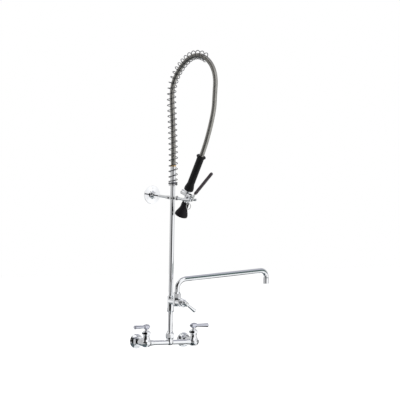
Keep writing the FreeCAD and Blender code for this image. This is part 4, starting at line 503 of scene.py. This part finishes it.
class FAUCET_OT_stage(bpy.types.Operator):
    """Sets the camera, surround, floor and lamps, and the tent and cards that the chrome mirrors"""

    bl_idname = "faucet.stage"
    bl_label = "Stage"

    def execute(self, context):
        s = context.scene.faucet_stage
        self.camera(context.scene, s)
        self.surround(context.scene)
        self.floor()
        self.lamps()
        self.tent(s)
        self.cards(s)
        return {"FINISHED"}

    @staticmethod
    def camera(scene, s):
        """Looks down a little on the faucet from the left, from far off."""
        near, right = heading(-s.turn)
        back = near * math.cos(s.height) + UP * math.sin(s.height)
        up = UP * math.cos(s.height) - near * math.sin(s.height)
        sine, cosine = math.sin(s.roll), math.cos(s.roll)
        right, up = right * cosine + up * sine, up * cosine - right * sine
        camera = bpy.data.cameras.new("camera")
        camera.lens = s.lens
        camera.sensor_width = SENSOR_WIDTH
        camera.clip_end = 60.0
        seat = linked("camera", camera)
        distance = s.view_width * s.lens / SENSOR_WIDTH
        target = RISER + right * AIM_RIGHT + up * AIM_UP
        seat.matrix_world = placed(right, up, back, target + back * distance)
        scene.camera = seat
        scene.view_settings.view_transform = "Standard"

    @staticmethod
    def surround(scene):
        """White for rays from the camera, off metal and through glass, and a softer light for the rest."""
        world = bpy.data.worlds.new("surround")
        tree = bare_tree(world)
        path = node(tree, "LightPath")
        seen = path.outputs["Is Camera Ray"]
        for ray in ("Is Glossy Ray", "Is Transmission Ray"):
            seen = node(tree, "Math", {"operation": "ADD", "use_clamp": True},
                        {0: seen, 1: path.outputs[ray]}).outputs[0]
        shown = node(tree, "Background", inputs={"Color": (1, 1, 1, 1), "Strength": 1.0})
        fill = node(tree, "Background", inputs={"Color": (0.97, 0.98, 1, 1), "Strength": 0.5})
        mix = node(tree, "MixShader", inputs={"Fac": seen, 1: fill.outputs[0], 2: shown.outputs[0]})
        show(tree, mix, "OutputWorld")
        scene.world = world

    @staticmethod
    def floor():
        """A pale floor just under the faucet: white to the camera but for a soft shadow. The chrome
        mirrors the light tent, which goes on below it."""
        half, gap = 3, 0.004
        z = CAD_BOX[0][2] - gap
        floor = card("floor", ((-half, -half, z), (half, -half, z), (half, half, z), (-half, half, z)))
        material = bpy.data.materials.new("pale_floor")
        tree = bare_tree(material)
        lit = node(tree, "BsdfDiffuse", inputs={"Color": (0.55, 0.55, 0.55, 1)})
        glow = node(tree, "Emission", inputs={"Color": (1, 1, 1, 1), "Strength": 0.80})
        show(tree, node(tree, "AddShader", inputs={0: lit.outputs[0], 1: glow.outputs[0]}))
        floor.data.materials.append(material)
        floor.visible_glossy = False

    @staticmethod
    def lamps():
        """Two soft boxes, above left and right of the camera, turned to the faucet's middle."""
        middle = np.array((0.0, -0.15, 0.5))
        for name, place, size, power in (
            ("key_lamp", (-2.2, -2.6, 2.4), 1.8, 42.0),
            ("fill_lamp", (2.4, -1.8, 1.2), 1.6, 18.0),
        ):
            lamp = bpy.data.lights.new(name, "AREA")
            lamp.size = size
            lamp.energy = power
            box = linked(name, lamp)
            ahead = unit(middle - np.array(place))
            side = unit(np.cross(ahead, UP))
            box.matrix_world = placed(side, np.cross(side, ahead), -ahead, place)
            box.visible_glossy = False

    def tent(self, s):
        """The light tent that the chrome mirrors, a ball of 4 m radius: level*cos and level*sin of the
        turn and the sine of the rise, where level is the cosine of the rise. Each point of the skin glows
        as bright as its direction asks."""
        radius, step, middle, pole_glow = 4.0, 2.0, np.array((0.0, -0.1, 0.35)), 0.3
        turn, rise = np.meshgrid(np.radians(np.arange(-180, 180, step)), np.radians(np.arange(-88, 89, step)))
        level = np.cos(rise)
        around = turn - math.pi / 2 - s.turn
        grid = np.stack((level * np.cos(around), level * np.sin(around), np.sin(rise)), -1) * radius
        skin = surface("light_tent", grid + middle)
        glow = self.panels(np.degrees(turn), np.degrees(rise)).reshape(-1, 3)
        glow = np.concatenate((glow, np.full((2, 3), pole_glow)))
        light = skin.data.attributes.new("light", "FLOAT_COLOR", "POINT")
        light.data.foreach_set("color", np.column_stack((glow, np.ones(len(glow)))).ravel())
        only_mirrored(skin, glowing_cloth("tent_cloth", "light"))

    @staticmethod
    def panels(turn, rise):
        """Brightness by direction, in degrees right of the camera and above it. The wall is dark where the
        camera stands, grey to its left and brightest where the wall plate mirrors it. The ceiling, ground,
        zenith, dado and nadir are laid over it."""

        def banded(base, *bands):
            """The base level plus what each band (first, last, soft, change) adds between its two turns,
            fading over soft degrees on both sides of each."""
            level = np.full(turn.shape, base)
            for first, last, soft, change in bands:
                rises = smoothstep((turn - first + soft) / (2 * soft))
                falls = smoothstep((last + soft - turn) / (2 * soft))
                level = level + change * rises * falls
            return level

        def above(start, soft):
            return smoothstep((rise - start) / soft)

        def below(start, soft):
            return smoothstep((-rise - start) / soft)

        wall = banded(1.0, (-75, -14, 5, -0.52), (-181, -75, 5, -0.40), (92, 181, 8, -0.35))
        wall = wall * banded(1.0, (-14, 19, 2.5, -0.985)) + banded(0.0, (50, 65, 3, 0.16))
        wall = wall * (1 - banded(0.0, (-75, 8, 4, 0.97)) * above(6, 8))
        ceiling = banded(1.0, (-66, -10, 3, -0.97), (-10, 58, 4, 0.12), (58, 181, 6, -0.50))
        blue = banded(0.0, (58, 181, 6, 0.06))[..., None] * np.array((0.0, 0.0, 1.0))
        ground = banded(0.10, (26, 181, 6, 0.76))[..., None] + np.array((0.0, 0.025, 0.035))
        nadir = banded(0.12, (26, 181, 6, 0.74))[..., None] + np.array((0.0, 0.03, 0.04))
        glow = wall[..., None] * np.ones(3)
        for share, colour in (
            (above(26, 14), ceiling[..., None] + blue),
            (below(24, 10), ground),
            (above(62, 10), np.array((0.34, 0.34, 0.38))),
            (banded(0.0, (-181, -140, 6, 1.0)) * below(6, 6), np.array((0.08, 0.13, 0.16))),
            (below(58, 10), nadir),
        ):
            glow = glow * (1 - share[..., None]) + share[..., None] * colour
        return glow

    @staticmethod
    def cards(s):
        """Sets up the cards of both tables: dark ones left of the base, behind and beneath it, white ones
        to its right, and small ones for the spout, the add-on's branch and the right lever."""
        near, right = heading(-s.turn)

        def spot(place):
            return RISER + right * place[0] + near * place[1] + UP * place[2]

        rows = [(name, spot(first), spot(last), UP * height, (glow, glow, glow))
                for name, first, last, height, glow in VIEW_CARDS]
        rows += [(name, np.array(first), np.array(last), np.array(edge), glow)
                 for name, first, last, edge, glow in NEAR_CARDS]
        for name, first, last, edge, glow in rows:
            flag = card(name, (first, last, last + edge, first + edge))
            only_mirrored(flag, glowing_cloth(name + "_cloth", glow))


class FAUCET_OT_hose(bpy.types.Operator):
    """Makes the ribbed stainless hose from the ferrule over the arch into the grip"""

    bl_idname = "faucet.hose"
    bl_label = "Ribbed hose"

    def execute(self, context):
        s = context.scene.faucet_sizes
        rows_per_rib, around = 7, 32
        line = hose_line()
        _, side = heading(HOSE_AZIMUTH)
        centres, along = evenly(line, int(distances(line)[-1] / s.rib_pitch * rows_per_rib))
        inward, across = squared(unit(np.gradient(centres, axis=0)), side)
        angles = circle(around)
        radius = self.ribs(along[:, None], angles[None], s)
        hose = surface("ribbed_hose", centres[:, None] + radius[..., None] * spokes(angles, inward, across))
        hose.data.set_sharp_from_angle(angle=math.radians(180))
        give_finish(hose, "stainless_hose")
        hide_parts("hose_cover", "hose_liner")
        bend_with_sprayer(hose)
        return {"FINISHED"}

    @staticmethod
    def ribs(along, around, s):
        """Radius of the strip-wound cover: the outer radius less the groove's depth times the
        third power of half of one plus the cosine of the turn along the strip."""
        wave = 0.5 + 0.5 * np.cos(2 * np.pi * along / s.rib_pitch + around)
        return s.hose_radius - s.rib_depth * wave ** 3


class FAUCET_OT_spring(bpy.types.Operator):
    """Winds the support spring round the hose, close at the sleeve and open over the arch"""

    bl_idname = "faucet.spring"
    bl_label = "Support spring"

    def execute(self, context):
        """Each centre of the wire is a place on the hose's line plus the coil's radius along a spoke, which
        goes round once for each turn. The place moves on by the closed pitch for each turn and, past the
        closed turns, by the rest of the open pitch too, which comes in as the square of the turns. Past
        the sleeve, the coil leans outwards by a smooth step."""
        s = context.scene.faucet_sizes
        foot, closed_pitch, closed_turns, easing_turns = 0.5992, 0.00375, 2, 1.5
        lean_by, lean_from, lean_over = 0.0026, 0.090, 0.100
        points_per_turn, look_ahead = 40, 0.004
        turn = np.linspace(0, s.coil_turns, int(s.coil_turns * points_per_turn))
        opened = np.maximum(turn - closed_turns, 0)
        eased = np.minimum(opened, easing_turns) ** 2 / (2 * easing_turns)
        eased = eased + np.maximum(opened - easing_turns, 0)
        along = closed_pitch * turn + (s.coil_pitch - closed_pitch) * eased
        line = np.concatenate(((RISER + UP * foot,), hose_line()))
        ahead = unit(walk(line, along + look_ahead) - walk(line, np.maximum(along - look_ahead, 0)))
        inward, across = squared(ahead, heading(HOSE_AZIMUTH)[1])
        lean = lean_by * smoothstep((along - lean_from) / lean_over)
        angle = 2 * np.pi * turn
        spoke = np.cos(angle)[:, None] * inward + np.sin(angle)[:, None] * across
        centres = walk(line, along) - inward * lean[:, None] + spoke * s.coil_radius
        spring = wire("support_spring_wire", centres, spoke, s.wire_radius)
        give_finish(spring, "spring_steel")
        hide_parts("support_spring")
        bend_with_sprayer(spring)
        return {"FINISHED"}


class FAUCET_OT_sprayer(bpy.types.Operator):
    """Makes the sprayer's black parts and the spring behind its plunger"""

    bl_idname = "faucet.sprayer"
    bl_label = "Black parts and spring of the sprayer"

    def execute(self, context):
        u, v, w = sprayer_axes()
        edge_radius = 0.0005
        for name, profile, at_u, slot, stands_for in (
            ("squeeze_grip", self.grip(), GRIP_U, "black_grip", "grip"),
            ("grip_top_collar", self.collar(), GRIP_U, "black_grip", "grip_collar"),
            ("spray_bell", self.bell(), HEAD_U, "black_rubber", "bell"),
        ):
            piece = turned(name, rounded(profile, edge_radius), on_sprayer(at_u, 0.0), w, u)
            give_finish(piece, slot)
            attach(piece, "sprayer")
            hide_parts(stands_for)
        self.valve_spring(u, v, w)
        cover = self.cover(u, v, w)
        give_finish(cover, "black_grip", "lever_cover_finish")
        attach(cover, "squeeze_lever")
        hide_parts("lever_cover")
        return {"FINISHED"}

    @staticmethod
    def valve_spring(u, v, w):
        """The turns behind the plunger's disc: a helix about the barrel, each centre being the way along
        the barrel plus the coil's radius times (across*cos + v*sin)."""
        turns, points_per_turn, coil_radius, wire_radius = 7, 32, 0.0036, 0.0006
        seat, disc = -0.0226, -0.0062
        ahead = u * math.cos(BARREL_TILT) + w * math.sin(BARREL_TILT)
        across = w * math.cos(BARREL_TILT) - u * math.sin(BARREL_TILT)
        first, last = (on_sprayer(0.0, BARREL_HEIGHT) + ahead * at for at in (seat, disc))
        turn = np.linspace(0, turns, turns * points_per_turn)
        spoke = np.cos(2 * np.pi * turn)[:, None] * across + np.sin(2 * np.pi * turn)[:, None] * v
        centres = first + (last - first) * (turn / turns)[:, None] + spoke * coil_radius
        coil = wire("valve_spring_wire", centres, spoke, wire_radius)
        give_finish(coil, "spring_steel")
        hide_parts("plunger_spring")
        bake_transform(coil)

    @staticmethod
    def grip():
        """Outer radius: the neck's plus the flare times one less the smooth step of the height over the
        skirt."""
        bore, counterbore, neck, flare = 0.00815, 0.01115, 0.0138, 0.0042
        bottom, shoulder, top = 0.0374, 0.0441, 0.1795
        skirt_from, skirt_over = 0.0450, 0.0225
        foot_chamfer, foot_rise, top_chamfer = 0.0012, 0.0018, 0.0008
        height = np.linspace(bottom + foot_rise, top - top_chamfer, 70)
        radius = neck + flare * (1 - smoothstep((height - skirt_from) / skirt_over))
        return np.concatenate((
            ((counterbore, bottom), (neck + flare - foot_chamfer, bottom)), np.column_stack((radius, height)),
            ((neck - top_chamfer, top), (bore, top), (bore, shoulder), (counterbore, shoulder))))

    @staticmethod
    def collar():
        """A half round rim: the radius falls from the middle height by the height's square."""
        bore, rim, fall, middle, half = 0.0081, 0.0184, 0.0014, 0.1825, 0.0028
        bottom, top = 0.1796, 0.1855
        height = np.linspace(middle - half, middle + half, 9)
        radius = rim - fall * ((height - middle) / half) ** 2
        return np.concatenate((((bore, bottom),), np.column_stack((radius, height)), ((bore, top),)))

    @staticmethod
    def bell():
        """Outer radius: the neck's plus a small and a wide flare, each times a smooth step of the depth.
        The inside follows as a cone to the bore, past the seat of the spray face."""
        neck, small_flare, wide_flare = 0.0140, 0.0006, 0.0104
        bore, mouth, face_seat, cone_top = 0.00860, 0.0180, 0.0218, 0.01168
        depth = np.linspace(0.0134, 0.0652, 60)
        radius = (neck + small_flare * smoothstep((depth - 0.013) / 0.014)
                  + wide_flare * smoothstep((depth - 0.030) / 0.0365))
        top = ((bore, -0.0110), (0.0122, -0.0110), (0.0136, -0.0118))
        rim = ((0.0246, -0.0667), (0.0230, -0.0673), (mouth, -0.0673), (mouth, -0.0643))
        inside = ((face_seat, -0.0643), (cone_top, -0.0380), (0.01068, -0.0130), (bore, -0.0130))
        return np.concatenate((top, np.column_stack((radius, -depth)), rim, inside))

    @staticmethod
    def cover(u, v, w):
        """Rounded bar along the lever: its section is a superellipse, and over the tip its width falls as
        a circle and its thickness as the fourth power of the way. The foot is a little narrower."""
        start, straight_end, tip, power = 0.0040, 0.1205, 0.0065, 2.8
        half_width, half_depth, seat = 0.0065, 0.0052, 0.0003
        foot_narrowing, foot_length = 0.12, 0.0012
        ahead = u * math.sin(LEVER_TILT) + w * math.cos(LEVER_TILT)
        out = u * math.cos(LEVER_TILT) - w * math.sin(LEVER_TILT)
        along = np.concatenate((np.linspace(start, straight_end, 60),
                                straight_end + tip * np.sin(np.linspace(0.05, 1.55, 24))))
        t = np.clip((along - straight_end) / tip, 0, 1)
        foot = 1 - foot_narrowing * (1 - smoothstep((along - start) / foot_length))
        wide = half_width * np.sqrt(np.maximum(1 - t ** 2, 1e-6)) * foot
        deep = half_depth * np.sqrt(np.maximum(1 - t ** 4, 1e-6)) * foot
        angles = circle(48)
        x, y = (np.sign(part) * np.abs(part) ** (2 / power) for part in (np.cos(angles), np.sin(angles)))
        grid = (on_sprayer(*LEVER_SHOULDER) + along[:, None, None] * ahead
                + (seat + deep[:, None] * x)[..., None] * out + (wide[:, None] * y)[..., None] * v)
        return surface("squeeze_lever_cover", grid)


class FAUCET_OT_finishes(bpy.types.Operator):
    """Gives every carried-over node its finish"""

    bl_idname = "faucet.finishes"
    bl_label = "Finishes"

    def execute(self, context):
        for name, obj in NODES.items():
            for slot in obj.material_slots:
                # The levers take the handle finish, whose darker colour is painted shade.
                base = "handle" if name in LEVERS_IN_PAINTED_SHADE else slot.material.name.split(".")[0]
                if base + "_finish" in bpy.data.materials:
                    slot.material = bpy.data.materials[base + "_finish"]
        return {"FINISHED"}


class FAUCET_PT_panel(bpy.types.Panel):
    """Lists the camera's settings, the faucet's sizes and colours, and the pieces to make"""

    bl_label = "Pre-rinse faucet"
    bl_idname = "FAUCET_PT_panel"
    bl_space_type = "VIEW_3D"
    bl_region_type = "UI"
    bl_category = "Faucet"

    def draw(self, context):
        column = self.layout.column()
        scene = context.scene
        for group in (scene.faucet_stage, scene.faucet_sizes, scene.faucet_colours):
            for key in group.__annotations__:
                column.prop(group, key)
        for operator in OPERATORS:
            column.operator(operator.bl_idname)


OPERATORS = (FAUCET_OT_stage, FAUCET_OT_hose, FAUCET_OT_spring, FAUCET_OT_sprayer, FAUCET_OT_finishes)
CLASSES = (FaucetSizes, FaucetColours, StageSettings) + OPERATORS + (FAUCET_PT_panel,)


def register():
    for cls in CLASSES:
        bpy.utils.register_class(cls)
    bpy.types.Scene.faucet_sizes = bpy.props.PointerProperty(type=FaucetSizes)
    bpy.types.Scene.faucet_colours = bpy.props.PointerProperty(type=FaucetColours)
    bpy.types.Scene.faucet_stage = bpy.props.PointerProperty(type=StageSettings)


def unregister():
    del bpy.types.Scene.faucet_stage, bpy.types.Scene.faucet_colours, bpy.types.Scene.faucet_sizes
    for cls in reversed(CLASSES):
        bpy.utils.unregister_class(cls)


def main():
    register()
    finishes()
    for operator in OPERATORS:
        family, action = operator.bl_idname.split(".")
        getattr(getattr(bpy.ops, family), action)()


if __name__ == "__main__":
    main()
